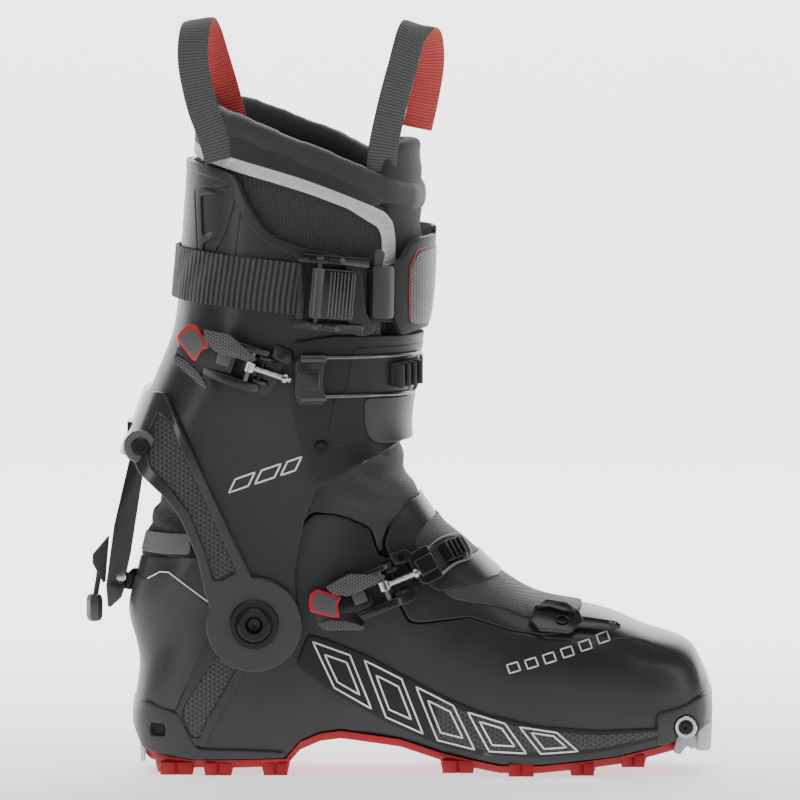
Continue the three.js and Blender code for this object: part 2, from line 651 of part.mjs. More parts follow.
// The leg of the liner stands inside the cuff; its rim is a thick padded roll, and both rise
// towards the medial side. A tongue closes the front.
const LEG_LINER_OUT = -CUFF_WALL - 1.4;
const LEG_LINER_IN = LEG_LINER_OUT - LINER_WALL;
const RIM_HIGH = 11;
const MEDIAL_RISE = 0.09; // rise of the rim per millimetre towards the medial side
const LINER_FRONT = 90;
const rimLine = [[-40, 341], [2.6, 341], [45, 325], [LINER_FRONT, 305]];
function leaning(points) {
  const [a, b, c, d] = [1, 0, 0, 0];
  const shear = new THREE.Matrix4().set(a, b, c, d, 0, 1, 0, 0, 0, MEDIAL_RISE, 1, 0, 0, 0, 0, 1);
  const shape = new THREE.Shape(points.map(([x, z]) => new THREE.Vector2(x, z)));
  const geometry = new THREE.ExtrudeGeometry(shape, { depth: 2 * FAR, bevelEnabled: false });
  geometry.rotateX(Math.PI / 2);
  geometry.translate(0, FAR, 0);
  return solidOf(geometry.applyMatrix4(shear));
}
const linerTop = [...raise(rimLine, -RIM_HIGH - GAP)];
node(
  "liner_cuff",
  common(
    leg(LEG_LINER_OUT, 24).subtract(leg(LEG_LINER_IN, 20)),
    leaning([[-40, 60], ...linerTop, [LINER_FRONT, 60]]),
  ).subtract(unite(circle(LINER_CUFF_R), box(-70, -30, -14, 14, 150, 182))),
  FABRIC_BLACK,
);
const loopSlots = [-1, 1].map((s) => box(-14, 9, s * 17 - 2.2, s * 17 + 2.2, 336.2, 360));
node(
  "liner_rim",
  legSkin(LEG_LINER_OUT + 3, LEG_LINER_IN - 2.4)
    .intersect(leaning([...rimLine, ...raise(rimLine, -RIM_HIGH).reverse()]))
    .subtract(unite(...loopSlots)),
  FABRIC_BLACK,
);
const bandTop = [[-30, 328], [-8.7, 325], [42.5, 312.5], [78.3, 298.6], [LINER_FRONT, 292.6]];
const bandOutline = [
  ...bandTop, [LINER_FRONT, 262], [84.6, 262], [84.6, 288.4], ...raise(bandTop, -6.5).slice(0, -1).reverse(),
];
const cuffShade = prism([[-100, 200], [84.4, 200], ...CUFF_TOP, [-100, 315.8]]);
node(
  "liner_band",
  legSkin(LEG_LINER_OUT + 1.3, LEG_LINER_OUT + 0.5).intersect(leaning(bandOutline)).subtract(cuffShade),
  FABRIC_WHITE,
);
const tongueOutline = [[90.4, 196], [140, 196], [140, 327], [90.4, 327]];
node(
  "liner_tongue",
  common(legSkin(LEG_LINER_OUT + 0.6, LEG_LINER_IN), prism(tongueOutline)),
  FABRIC_BLACK,
);

// Pull loops of folded webbing: an arch in local x and z, as wide as the webbing along y.
function loopArch(wide, high, nearDrop) {
  const r = wide;
  const line = [
    [-r, -nearDrop], [-r * 1.02, high * 0.45], [-r * 0.8, high * 0.84], [0, high],
    [r * 0.8, high * 0.84], [r * 1.02, high * 0.45], [r, 0],
  ];
  return ribbon(line, LOOP_THICK, -LOOP_WIDTH / 2, LOOP_WIDTH / 2);
}
const rad = THREE.MathUtils.degToRad;
function loopNode(name, arch, at, turn, lean) {
  const mesh = node(name, arch, WEB_GREY);
  mesh.rotation.set(0, rad(lean), rad(turn), "ZYX");
  mesh.position.set(...at);
}
loopNode("rear_loop", loopArch(17, 51, 0), [-2, 0, 336.8], 90, 0);
loopNode("front_loop", loopArch(15, 53, 22), [93, -23, 330.2], 58, 10);

// ---------------------------------------------------------------- buckles
// Local axes of a buckle: x along the pull, y along the axle, z out of the boot.
const AXLE_Z = 4.3;
const AXLE_R = 1.3;
const BAIL_PIN = { x: -6, z: 7.8, r: 1.2 };
const EAR_Y = [5.2, 7.2];
const ARM_Y = [7.6, 10.2];

// A plate drawn in x and z, standing on edge from y0 to y1.
function standing(points, y0, y1) {
  const shape = new THREE.Shape(points.map(([x, z]) => new THREE.Vector2(x, z)));
  const geometry = new THREE.ExtrudeGeometry(shape, { depth: y1 - y0, bevelEnabled: false });
  geometry.rotateX(Math.PI / 2);
  geometry.translate(0, y1, 0);
  return solidOf(geometry);
}

function buckleBase(wide, back, front) {
  const w = wide / 2;
  const foot1 = plate(
    [[back, 3 - w], [back + 3, -w], [front, -w], [front + 2, 0], [front, w], [back + 3, w],
      [back, w - 3]],
    0,
    1.2,
  );
  const ear = [[-4, 0.6], [4, 0.6], [2.2, AXLE_Z + 2], [-2.2, AXLE_Z + 2]];
  const ears = onBothSides(EAR_Y, (y0, y1) => standing(ear, y0, y1));
  const end = ARM_Y[1] + 0.4;
  return unite(foot1, ...ears, rod([0, -end, AXLE_Z], [0, end, AXLE_Z], AXLE_R, 12));
}

// The lever: two arms beside the ears, a handle plate behind them and a raised red pad.
const LEVER_LONG = 45;
function buckleLever() {
  const arm = [
    [-16, 2.2], [-16, 6.4], [-10, 9.8], [-4.6, 10.2], [-1.5, 8.4], [1.9, 6.3], [2.2, 2.6],
    [0, 1.7],
  ];
  const arms = onBothSides(ARM_Y, (y0, y1) => standing(arm, y0, y1));
  const handle = plate(
    [[-14, -11.4], [-14, 11.4], [-24, 13.4], [-35, 12.6], [-43, 8.6], [-LEVER_LONG, 1],
      [-43.6, -6.4], [-37, -12], [-26, -14.4]],
    2,
    5,
  );
  const pin = rod([BAIL_PIN.x, -9, BAIL_PIN.z], [BAIL_PIN.x, 9, BAIL_PIN.z], BAIL_PIN.r, 12);
  const bore = rod([0, -20, AXLE_Z], [0, 20, AXLE_Z], AXLE_R + 0.3, 16);
  return unite(...arms, handle, pin).subtract(bore);
}
const leverPad = () =>
  plate(
    [[-44, -5], [-43, 7.4], [-36, 11], [-29, 10], [-27.4, 2], [-29, -7], [-37, -10.4]],
    5.3,
    8,
  );

// The bail pulls on the rack: an eye on the lever's pin, a threaded rod, a block and a wire.
function bailRod(long) {
  const { x, z, r } = BAIL_PIN;
  const eye = rod([x, -2.6, z], [x, 2.6, z], r + 1.9, 20);
  const bore = rod([x, -5, z], [x, 5, z], r + 0.3, 16);
  return unite(eye, rod([x + 2, 0, z], [long, 0, z], 1.65, 14)).subtract(bore);
}

const UPPER = { x: 23, z: 211, turn: -18, rod: 16.2 };
const upperSeat = seat(legWidth, UPPER.x, UPPER.z, UPPER.turn, 0.6);
node("upper_buckle_base", buckleBase(25, -6, 7), PANEL_BLACK, upperSeat);
node("upper_lever", buckleLever(), PANEL_BLACK, upperSeat);
node("upper_lever_pad", leverPad(), PAD_RED, upperSeat);
node("upper_screw", bailRod(UPPER.rod), STEEL, upperSeat);

const WIRE_D = 2;
const UPPER_BLOCK = { x0: 39.6, x1: 54.5, z0: 193.6, z1: 218.6, lift: 4, thick: 6 };
function upperBlock() {
  const { x0, x1, z0, z1, lift, thick } = UPPER_BLOCK;
  const y0 = legWidth((x0 + x1) / 2, 206) + lift;
  const side = [[x0, z0 + 3], [x0 + 3, z0], [x1, z0], [x1, z1], [x0 + 3, z1], [x0, z1 - 3]];
  return prism(side, -y0 - thick, -y0);
}
const UPPER_WIRE_LIFT = FLAP_OUT + WIRE_D / 2 + 0.9;
function upperBail() {
  const [high, low] = [217, 197];
  const arc = (z) => [78, 66, 54, 43, 33, 24, 16].map((a) => legPoint(z, a, UPPER_WIRE_LIFT));
  const start = (z) => [UPPER_BLOCK.x1 - 3, legPoint(z, 78, UPPER_WIRE_LIFT)[1] + 0.6, z];
  const front = [213, 207, 201].map((z) => legPoint(z, 11, UPPER_WIRE_LIFT + 0.4));
  const path = [start(high), ...arc(high), ...front, ...arc(low).reverse(), start(low)];
  return tube(path, WIRE_D, 38, 6);
}
const bailWire = upperBail();
node("upper_bail", bailWire, STEEL);
const bailSlack = (z) => [
  [UPPER_BLOCK.x1 - 4, z - 1.5], [UPPER_BLOCK.x1 + 1, z - 1.5],
  [UPPER_BLOCK.x1 + 1, z + 1.5], [UPPER_BLOCK.x1 - 4, z + 1.5],
];
const wireBores = unite(...[217, 197].map((z) => prism(bailSlack(z), -70, -54)));
const screwBore = rectPlate(12, 17, -2.1, 2.1, 5.6, 10.2);
const inWorld = (solid, frame) => solidOf(geometryOf(solid).applyMatrix4(frame.matrixWorld));
node("upper_block", upperBlock().subtract(unite(wireBores, inWorld(screwBore, upperSeat))), PANEL_BLACK);

// A toothed rack: teeth lean away from the pull.
function rack(long, wide, teeth) {
  const pitch = long / teeth;
  const line = [[0, 0], [0, 2]];
  for (let i = 0; i < teeth; i++) {
    line.push([i * pitch + 0.6, 2], [(i + 1) * pitch - 1.4, 5.6], [(i + 1) * pitch, 5.6]);
    line.push([(i + 1) * pitch, 2]);
  }
  line.push([long + 2, 2], [long + 2, 0]);
  return standing(line.reverse(), -wide / 2, wide / 2);
}
const rackAt = legPoint(207.5, 42, 0);
const upperRackSeat = seat(legWidth, rackAt[0], rackAt[2], 0, FLAP_OUT + 0.4);
node("upper_rack", rack(17, 13, 4), PANEL_BLACK, upperRackSeat);

// ---------------------------------------------------------------- instep buckle
const INSTEP = { x: 90.5, z: 100.2, turn: 22, rod: 14.5 };
const instepSeat = seat(footWidth, INSTEP.x, INSTEP.z, INSTEP.turn, 1.7);
node("instep_buckle_base", buckleBase(24, -6, 7), PANEL_BLACK, instepSeat);
node("instep_lever", buckleLever(), PANEL_BLACK, instepSeat);
node("instep_lever_pad", leverPad(), PAD_RED, instepSeat);
node("instep_screw", bailRod(INSTEP.rod), STEEL, instepSeat);

const INSTEP_BLOCK = { x: 105.8, z: 107.2, turn: 30, lift: 5 };
const blockSeat = seat(footWidth, INSTEP_BLOCK.x, INSTEP_BLOCK.z, INSTEP_BLOCK.turn, INSTEP_BLOCK.lift);
const rodSleeve = rod([0, 0, BAIL_PIN.z], [INSTEP.rod + 0.5, 0, BAIL_PIN.z], 2.1, 14);
const wireSlots = [-1, 1].map((s) => rectPlate(1.4, 9, s * 7.5 - 1.5, s * 7.5 + 1.5, -1.2, 3.2));
const sleeveHere = solidOf(
  geometryOf(inWorld(rodSleeve, instepSeat)).applyMatrix4(blockSeat.matrixWorld.clone().invert()),
);
const blockBody = plate([[-7.5, -7], [-4.5, -9.4], [5, -9.4], [5, 9.4], [-4.5, 9.4], [-7.5, 7]], -1.6, 7.2);
node("instep_block", blockBody.subtract(unite(...wireSlots, sleeveHere)), PANEL_BLACK, blockSeat);

const rackFoot = blockSeat.localToWorld(new THREE.Vector3(9, 0, 0));
const instepRackSeat = seat(footWidth, rackFoot.x, rackFoot.z, INSTEP_BLOCK.turn, 1.4);
const RACK_LONG = 11;
node("instep_rack", rack(RACK_LONG, 9, 4), PANEL_BLACK, instepRackSeat);

// The wire leaves the block on both sides of the rack and closes in front of its last tooth.
function instepBail() {
  const at = (frame, x, y, z) => frame.localToWorld(new THREE.Vector3(x, y, z)).toArray();
  const end = RACK_LONG + 2 + WIRE_D;
  const sidePath = (s) => [
    at(blockSeat, 2.2, s * 7.5, 1.5),
    at(blockSeat, 6, s * 7.5, 1.2),
    at(instepRackSeat, 3, s * 7.4, 3.2),
    at(instepRackSeat, RACK_LONG, s * 7.2, 2.6),
    at(instepRackSeat, end - 0.8, s * 5.6, 2.3),
    at(instepRackSeat, end, s * 2.6, 2.2),
  ];
  return tube([...sidePath(1), ...sidePath(-1).reverse()], WIRE_D, 22, 6);
}
node("instep_bail", instepBail(), STEEL);

// ---------------------------------------------------------------- forefoot catch
const CATCH = { x: 173.5, z: 83 };
const catchSeat = seat(footWidth, CATCH.x, CATCH.z, -6, 2.4);
const catchPlate = plate(
  [[-13.5, -7], [-8, -12], [8, -11], [13, -5], [31, -2], [32, 1.5], [13, 4.5], [9, 9.6], [-7, 10],
    [-13.5, 3]],
  0,
  1.8,
);
const catchHole = rod([3, -3.5, -9], [3, -3.5, 9], 3, 20);
node("forefoot_catch", catchPlate.subtract(catchHole), PANEL_BLACK, catchSeat);
const catchRivet = unite(rod([3, -3.5, 0.2], [3, -3.5, 1.9], 2.65, 16), rod([3, -3.5, 1.8], [3, -3.5, 2.6], 2.2, 16));
node("forefoot_rivet", catchRivet, STEEL, catchSeat);

// ---------------------------------------------------------------- walk lever
const bracketSide = [
  [-46.4, 163], [-46.8, 180.6], [-37, 180.6], [-35, 172], [-35.4, 164], [-39, 162.4],
];
function leverBracket() {
  const cheeks = onBothSides([9, BRACKET_HALF], (y0, y1) => prism(bracketSide, y0, y1));
  const bridge = box(-46.4, -38, -BRACKET_HALF, BRACKET_HALF, 177.4, 180.6);
  const bore = pinY(...WALK_PIVOT, 2 + 0.3, -20, 20);
  return unite(...cheeks, bridge).subtract(bore);
}
node("lever_bracket", leverBracket(), PANEL_BLACK);
node("lever_pin", pinY(...WALK_PIVOT, 2, -BRACKET_HALF, BRACKET_HALF, 16), STEEL);

const leverRear = [
  [-44.6, 166], [-49.2, 147], [-53.8, 126.5], [-55.8, 111], [-57.9, 95.7], [-57, 84.5],
];
const leverFront = [
  [-55.4, 84.5], [-50, 89.4], [-48.4, 94], [-47.6, 101], [-45.4, 111], [-42, 131.6], [-38.9, 153],
  [-35.6, 165],
];
function walkLever() {
  const top = pinY(...WALK_PIVOT, 5.4, -FAR, FAR, 20);
  const side = unite(prism([...leverRear, ...leverFront]), top);
  const outerHalf = LEVER_INNER_HALF + LEVER_SHEET;
  const body = side.intersect(box(-90, 0, -outerHalf, outerHalf, 60, 190));
  const webFace = leverRear.map(([x, z]) => [x + 1.8, z]);
  const hollow = prism([...webFace, [-30, 84], [-30, 172], [-43, 172]], -LEVER_INNER_HALF, LEVER_INNER_HALF);
  const [bx, bz] = CATCH_BAR;
  const swept = circle(Math.hypot(bx - PIVOT[0], bz - PIVOT[1]) + CATCH_BAR_R + 0.5)
    .intersect(box(-90, -20, -LEVER_INNER_HALF, LEVER_INNER_HALF, 60, 101));
  const notch = unite(pinY(bx, bz, 2.7, -20, 20), box(bx, -40, -20, 20, bz - 2.6, bz + 2.6));
  const stop = box(-56.2, -48.4, -outerHalf, outerHalf, bz + CATCH_BAR_R + GAP, 111).intersect(side);
  const bore = pinY(...WALK_PIVOT, 2.3, -30, 30);
  return unite(body.subtract(unite(hollow, swept, notch)), stop).subtract(bore);
}
node("walk_lever", walkLever(), PANEL_BLACK);

const [BAR_X, BAR_Z] = CATCH_BAR;
node("catch_bar", pinY(BAR_X, BAR_Z, CATCH_BAR_R, -5.9, 5.9, 20), STEEL);
function catchBracket() {
  const side = [
    [-53, 96.2], [-52.4, 94.4], [-46, 93], [-38, 94], [-38, 104], [-44, 104], [-46.6, 101.6],
    [-48.4, 103.2], [-51, 103], [-53.6, 100.6],
  ];
  const body = prism(side, -3.4, 3.4).subtract(foot(GAP));
  const stopRoom = box(-60, -47.6, -20, 20, BAR_Z + 2.3, 120);
  return body.subtract(unite(stopRoom, pinY(BAR_X, BAR_Z, CATCH_BAR_R + 0.3, -20, 20)));
}
node("catch_bracket", catchBracket(), DARK_STEEL);

// ---------------------------------------------------------------- pull cord
const CORD_TOP = [-61.6, 109];
function cordAnchor() {
  const side = [[-56.4, 121], [-58.2, 119], [-65, 111], [-65, 106.6], [-59.6, 96.6], [-58.4, 97]];
  const rear = leverRear.map(([x, z]) => [x - 0.35, z]);
  const keep = prism([...rear, [-90, 84], [-90, 166]]);
  const bore = pinZ(CORD_TOP[0], 0, 90, 108.6, CORD_D / 2 + 0.3);
  return prism(side, -4, 4).intersect(keep).subtract(bore);
}
function pinZ(x, y, z0, z1, r, sides = 16) {
  const geometry = new THREE.CylinderGeometry(r, r, z1 - z0, sides);
  geometry.rotateX(Math.PI / 2);
  geometry.translate(x, y, (z0 + z1) / 2);
  return solidOf(geometry);
}
node("cord_anchor", cordAnchor(), TEXTURED);
const CORD_PATH = [
  [CORD_TOP[0], 0, 108], [CORD_TOP[0], 0, 103], [-62.2, 0, 98], [-63.2, 0, 92], [-64, 0, 84],
  [-64.2, 0, 77.4],
];
node("pull_cord", tube(CORD_PATH, CORD_D, 10), paint(0x1b1c1e, 0.9));
function toggle() {
  const profile = [[0, 76.4], [3, 76.4], [4, 78.6], [4.1, 87.6], [3.2, 90.6], [0, 90.6]];
  const body = new THREE.LatheGeometry(profile.map(([r, h]) => new THREE.Vector2(r, h)), 6);
  body.rotateX(Math.PI / 2);
  body.translate(-64.1, 0, 0);
  const cordRoom = tube(CORD_PATH.slice(2), CORD_D + 0.8, 8);
  return solidOf(body).subtract(unite(cordRoom, pinZ(-64.2, 0, 70, 80, CORD_D / 2 + 0.4)));
}
node("cord_toggle", toggle(), PANEL_BLACK);

export default group;
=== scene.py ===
"""Looks of a right-foot ski touring boot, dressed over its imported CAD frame.

Sizes are in millimetres and become metres when a mesh is made. +X is the toe, +Z is up and
the lateral side faces -Y.
"""
import sys

import json
import logging
import math
from dataclasses import dataclass, field
from enum import Enum
from functools import cache
from typing import Callable, Sequence

import bmesh
import bpy
import numpy as np
from mathutils import Matrix, Vector
from mathutils.bvhtree import BVHTree


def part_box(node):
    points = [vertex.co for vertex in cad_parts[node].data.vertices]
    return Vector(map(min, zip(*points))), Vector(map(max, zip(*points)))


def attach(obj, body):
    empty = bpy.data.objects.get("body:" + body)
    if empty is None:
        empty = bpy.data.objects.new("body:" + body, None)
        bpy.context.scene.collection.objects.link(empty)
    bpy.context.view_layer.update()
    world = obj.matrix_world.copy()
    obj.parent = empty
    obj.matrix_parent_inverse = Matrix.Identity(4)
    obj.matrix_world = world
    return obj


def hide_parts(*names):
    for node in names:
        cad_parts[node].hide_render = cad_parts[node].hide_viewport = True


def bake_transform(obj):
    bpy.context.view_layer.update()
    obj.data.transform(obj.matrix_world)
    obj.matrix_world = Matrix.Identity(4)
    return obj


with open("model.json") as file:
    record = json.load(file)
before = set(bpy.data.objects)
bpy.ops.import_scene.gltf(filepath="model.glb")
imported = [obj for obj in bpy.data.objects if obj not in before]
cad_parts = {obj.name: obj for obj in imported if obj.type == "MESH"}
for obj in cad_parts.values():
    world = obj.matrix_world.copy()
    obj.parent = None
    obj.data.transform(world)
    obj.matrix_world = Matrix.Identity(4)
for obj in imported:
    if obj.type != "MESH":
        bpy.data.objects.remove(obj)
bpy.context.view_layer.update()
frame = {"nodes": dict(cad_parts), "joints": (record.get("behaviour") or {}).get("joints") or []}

LOG = logging.getLogger("touring_boot")
MM = 0.001
ROUND = 38.0  # edges over this many degrees stay sharp in shading
HARD = 28.0  # CAD edges over this many degrees are rounded
BAR_CHAMFER = 0.25
BAR_SIDES = 28
INK = 0.12  # how far prints stand off their surface
Outline = Sequence[tuple[float, float]]
Colour = tuple[float, float, float]
Socket = bpy.types.NodeSocket
NodeTree = bpy.types.NodeTree
Field = Callable[[np.ndarray], np.ndarray]


class Side(Enum):
    """The two sides of the boot, as signs along Y."""

    LATERAL = -1
    MEDIAL = 1


class Body(Enum):
    """The moving bodies of the boot."""

    SHELL = "shell"
    CUFF = "cuff"
    WALK = "walk_lever"
    CAM = "cam_lever"
    UPPER_LEVER = "upper_lever"
    UPPER_BAIL = "upper_bail"
    INSTEP_LEVER = "instep_lever"
    INSTEP_BAIL = "instep_bail"


# ---------------- shader node groups
class Tree:
    """A thin hand on a node tree, to add and join nodes in few words."""

    def __init__(self, tree: NodeTree) -> None:
        """Holds the node tree to build in."""
        self.tree = tree

    def feed(self, socket: Socket, value: object) -> None:
        """Gives an input its value.

        Args:
            socket: the input.
            value: an output to join, a colour of three numbers, or a plain value.
        """
        if isinstance(value, Socket):
            self.tree.links.new(value, socket)
        else:
            socket.default_value = (*value, 1.0) if isinstance(value, tuple) else value

    def fix(self, node: bpy.types.Node, **values: object) -> bpy.types.Node:
        """Sets a node.

        Args:
            node: the node.
            values: its settings, or names of its inputs with spaces as underscores.

        Returns:
            The same node.
        """
        for key, value in values.items():
            socket = node.inputs.get(key.replace("_", " "))
            if socket is None:
                setattr(node, key, value)
            else:
                self.feed(socket, value)
        return node

    def add(self, kind: str, **values: object) -> bpy.types.Node:
        """Adds a node of a type named without its ShaderNode prefix, and sets it."""
        prefix = "" if kind.startswith("NodeGroup") else "ShaderNode"
        return self.fix(self.tree.nodes.new(prefix + kind), **values)

    def use(self, group: NodeTree, **values: object) -> bpy.types.bpy_prop_collection:
        """Adds a node group, sets its inputs and gives its outputs."""
        return self.fix(self.add("Group", node_tree=group), **values).outputs

    def math(self, operation: str, a: object, b: object = 0.0) -> Socket:
        """Adds a Math node.

        Args:
            operation: its operation.
            a: the first socket or number.
            b: the second socket or number.

        Returns:
            Its output socket.
        """
        node = self.add("Math", operation=operation)
        for socket, value in zip(node.inputs, (a, b)):
            self.feed(socket, value)
        return node.outputs[0]

    def times(self, a: object, b: object) -> Socket:
        """The product of two values."""
        return self.math("MULTIPLY", a, b)

    def plus(self, a: object, b: object, share: float = 1.0) -> Socket:
        """The first value and a share of the second."""
        return self.math("ADD", a, b if share == 1.0 else self.times(b, share))

    def wave(self, run: object, pitch: object, count: int = 1) -> Socket:
        """A sine along a run, with so many waves to a pitch."""
        return self.math("SINE", self.times(run, self.math("DIVIDE", math.tau * count, pitch)))

    def blend(self, share: object, a: object, b: object) -> Socket:
        """Mixes two colours.

        Args:
            share: a socket or number, 0 for the first colour and 1 for the second.
            a: the first colour or its socket.
            b: the second colour or its socket.

        Returns:
            The mixed colour's socket.
        """
        node = self.add("Mix", data_type="RGBA")
        for index, value in ((0, share), (6, a), (7, b)):
            self.feed(node.inputs[index], value)
        return node.outputs[2]

    def span(self, value: Socket, low: float, high: float, to_low: float = 0.0,
             to_high: float = 1.0) -> Socket:
        """Maps a range of a value to another range, clamped."""
        node = self.add("MapRange", Value=value, From_Min=low, From_Max=high, To_Min=to_low, To_Max=to_high)
        return node.outputs[0]

    def bump(self, height: Socket, strength: float, depth: float) -> Socket:
        """The normal of a relief whose real depth is given in metres."""
        return self.add("Bump", Strength=strength, Distance=depth, Height=height).outputs[0]

    def place(self, kind: str = "Object") -> tuple:
        """The X, Y and Z of a coordinate, and the coordinate itself."""
        at = self.add("TexCoord").outputs[kind]
        return (*self.add("SeparateXYZ", Vector=at).outputs, at)

    def close(self, **values: Socket) -> NodeTree:
        """Makes a group's outputs and joins them.

        Args:
            values: the outputs' names and what feeds them.

        Returns:
            The group.
        """
        for title in values:
            self.tree.interface.new_socket(title, in_out="OUTPUT", socket_type="NodeSocketFloat")
        self.fix(self.add("NodeGroupOutput"), **values)
        return self.tree


def opened(name: str, **inputs: float) -> tuple[Tree, bpy.types.bpy_prop_collection]:
    """Opens a new node group.

    Args:
        name: the group's name.
        inputs: its number inputs and their defaults.

    Returns:
        Its tree and its input sockets.
    """
    group = bpy.data.node_groups.new(name, "ShaderNodeTree")
    for title, value in inputs.items():
        group.interface.new_socket(title, in_out="INPUT", socket_type="NodeSocketFloat").default_value = value
    tree = Tree(group)
    return tree, tree.add("NodeGroupInput").outputs


@cache
def moulded_grain() -> NodeTree:
    """Moulded grain with soft blotches, and edges lightened partly as rub wear, partly as a painted edge highlight.

    Returns:
        The group, with inputs Scale and Spread and outputs Height, Blotch and an edge mask for rub wear and painted
        edge highlights.
    """
    tree, ins = opened("moulded_grain", Scale=900.0, Spread=18.0)
    at = tree.add("TexCoord").outputs["Object"]
    fine = tree.add("TexNoise", Vector=at, Scale=ins["Scale"], Detail=4.0, Roughness=0.62)
    broad = tree.add("TexNoise", Vector=at, Scale=ins["Spread"], Detail=3.0, Roughness=0.55)
    # pointy edges: mask for rub wear and a painted edge highlight
    edge = tree.add("NewGeometry").outputs["Pointiness"]
    return tree.close(Height=fine.outputs[0], Blotch=tree.span(broad.outputs[0], 0.35, 0.68),
                      Rub=tree.span(edge, 0.525, 0.62))


@cache
def grip_lattice() -> NodeTree:
    """Fine triangular relief of grip rubber, from three sets of lines 60 degrees apart.

    Returns:
        The group, with input Pitch in metres and output Height.
    """
    tree, ins = opened("grip_lattice", Pitch=0.0022)
    x, _, z, _ = tree.place()
    lines = []
    for degrees in (0, 60, 120):
        a = math.radians(degrees)
        lines.append(tree.wave(tree.plus(tree.times(x, math.cos(a)), z, math.sin(a)), ins["Pitch"]))
    return tree.close(Height=tree.span(tree.plus(tree.plus(lines[0], lines[1]), lines[2]), -1.5, 2.2))


@cache
def plain_weave() -> NodeTree:
    """Plain weave of yarns, with fuzz.

    Returns:
        The group, with input Pitch in metres and outputs Height and Fuzz.
    """
    tree, ins = opened("plain_weave", Pitch=0.0012)
    x, y, z, at = tree.place()
    yarn = tree.times(tree.wave(tree.plus(x, y), ins["Pitch"]), tree.wave(z, ins["Pitch"]))
    fuzz = tree.add("TexNoise", Vector=at, Scale=2600.0, Detail=3.0, Roughness=0.7).outputs[0]
    return tree.close(Height=tree.plus(tree.span(yarn, -1, 1), fuzz, 0.6), Fuzz=fuzz)


@cache
def web_ribs() -> NodeTree:
    """Webbing: cords across the band with small stitches on them. It reads the UV map in metres.

    Returns:
        The group, with inputs Rib and Yarn in metres and outputs Height and Knot.
    """
    tree, ins = opened("web_ribs", Rib=0.003, Yarn=0.0008)
    u, v, _, _ = tree.place("UV")
    rib = tree.wave(u, ins["Rib"])
    yarn = tree.wave(tree.plus(v, u, 0.6), ins["Yarn"])
    cross = tree.wave(u, ins["Yarn"], 2)
    knot = tree.times(tree.span(yarn, -1, 1), tree.span(rib, -0.7, 0.6))
    height = tree.plus(tree.span(rib, -0.9, 0.7), knot, 0.5)
    return tree.close(Height=tree.plus(height, cross, 0.06), Knot=knot)


@cache
def mesh_holes() -> NodeTree:
    """Rows of small holes of a spacer mesh.

    Returns:
        The group, with input Pitch in metres and output Hole.
    """
    tree, ins = opened("mesh_holes", Pitch=0.0034)
    x, y, z, _ = tree.place()
    across, up = tree.plus(x, y, 0.8), tree.plus(z, x, 0.25)
    rows = [tree.wave(tree.plus(across, up, sign), ins["Pitch"]) for sign in (1.0, -1.0)]
    return tree.close(Hole=tree.span(tree.times(*rows), 0.25, 0.8))


# ---------------- finishes
def scaled(colour: Colour, by: float) -> Colour:
    """A colour made lighter or darker."""
    return tuple(c * by for c in colour)


@dataclass(frozen=True)
class Finish:
    """What every finish has: a name, the record's slot, a colour and a roughness."""

    name: str
    slot: str
    colour: Colour
    rough: float

    def material(self) -> bpy.types.Material:
        """Makes the material, or finds it when it is made already.

        Returns:
            The Blender material.
        """
        found = bpy.data.materials.get(self.name)
        if found:
            return found
        made = bpy.data.materials.new(self.name)
        made.use_nodes = True
        made.diffuse_color = (*self.colour, 1.0)
        self.dress(Tree(made.node_tree), made.node_tree.nodes["Principled BSDF"])
        return made

    def dress(self, tree: Tree, shader: bpy.types.Node) -> None:
        """Joins the finish's own nodes to its shader."""
        raise NotImplementedError


@dataclass(frozen=True)
class Moulded(Finish):
    """Injection-moulded plastic or rubber with grain, and edges lightened partly as rub wear, partly as a painted
    highlight.
    """

    grain: float = 900.0
    depth: float = 0.00006
    # lighter edge colour: rub wear, and partly a painted edge highlight
    worn_and_highlit: Colour = (0.12, 0.12, 0.125)
    coat: float = 0.0
    shine: float = 0.32
    spread: float = 18.0

    def dress(self, tree: Tree, shader: bpy.types.Node) -> None:
        """Joins grain, blotches and lightened edges (rub wear and a painted edge highlight) to the shader."""
        grain = tree.use(moulded_grain(), Scale=self.grain, Spread=self.spread)
        base = tree.blend(grain["Blotch"], scaled(self.colour, 0.8), scaled(self.colour, 1.18))
        tree.fix(shader, Base_Color=tree.blend(tree.times(grain["Rub"], 0.7), base, self.worn_and_highlit),
                 Roughness=tree.span(grain["Blotch"], 0, 1, self.rough - 0.05, self.rough + 0.06),
                 Coat_Weight=self.coat, Coat_Roughness=0.12, Specular_IOR_Level=self.shine,
                 Normal=tree.bump(grain["Height"], 0.35, self.depth))


@dataclass(frozen=True)
class Gripped(Finish):
    """Rubber with a fine triangular relief."""

    pitch: float = 0.0022
    depth: float = 0.0003
    light: Colour = (0.05, 0.05, 0.055)

    def dress(self, tree: Tree, shader: bpy.types.Node) -> None:
        """Joins the lattice and some grain to the shader."""
        raised = tree.use(grip_lattice(), Pitch=self.pitch)["Height"]
        grain = tree.use(moulded_grain())
        tree.fix(shader, Base_Color=tree.blend(raised, self.light, self.colour),
                 Roughness=tree.span(grain["Blotch"], 0, 1, self.rough - 0.05, self.rough + 0.05),
                 Normal=tree.bump(tree.plus(raised, grain["Height"], 0.2), 0.8, self.depth))


@dataclass(frozen=True)
class Woven(Finish):
    """Cloth of fine yarns, with fuzz and a soft sheen."""

    pitch: float = 0.0012
    depth: float = 0.0003
    light: Colour = (0.04, 0.04, 0.043)
    sheen: float = 0.25

    def dress(self, tree: Tree, shader: bpy.types.Node) -> None:
        """Joins the weave to the shader."""
        weave = tree.use(plain_weave(), Pitch=self.pitch)
        tree.fix(shader, Base_Color=tree.blend(tree.span(weave["Height"], 0.2, 1.3), self.colour, self.light),
                 Roughness=tree.span(weave["Fuzz"], 0.3, 0.7, self.rough - 0.06, self.rough + 0.04),
                 Sheen_Weight=self.sheen, Sheen_Roughness=0.5,
                 Normal=tree.bump(weave["Height"], 0.7, self.depth))


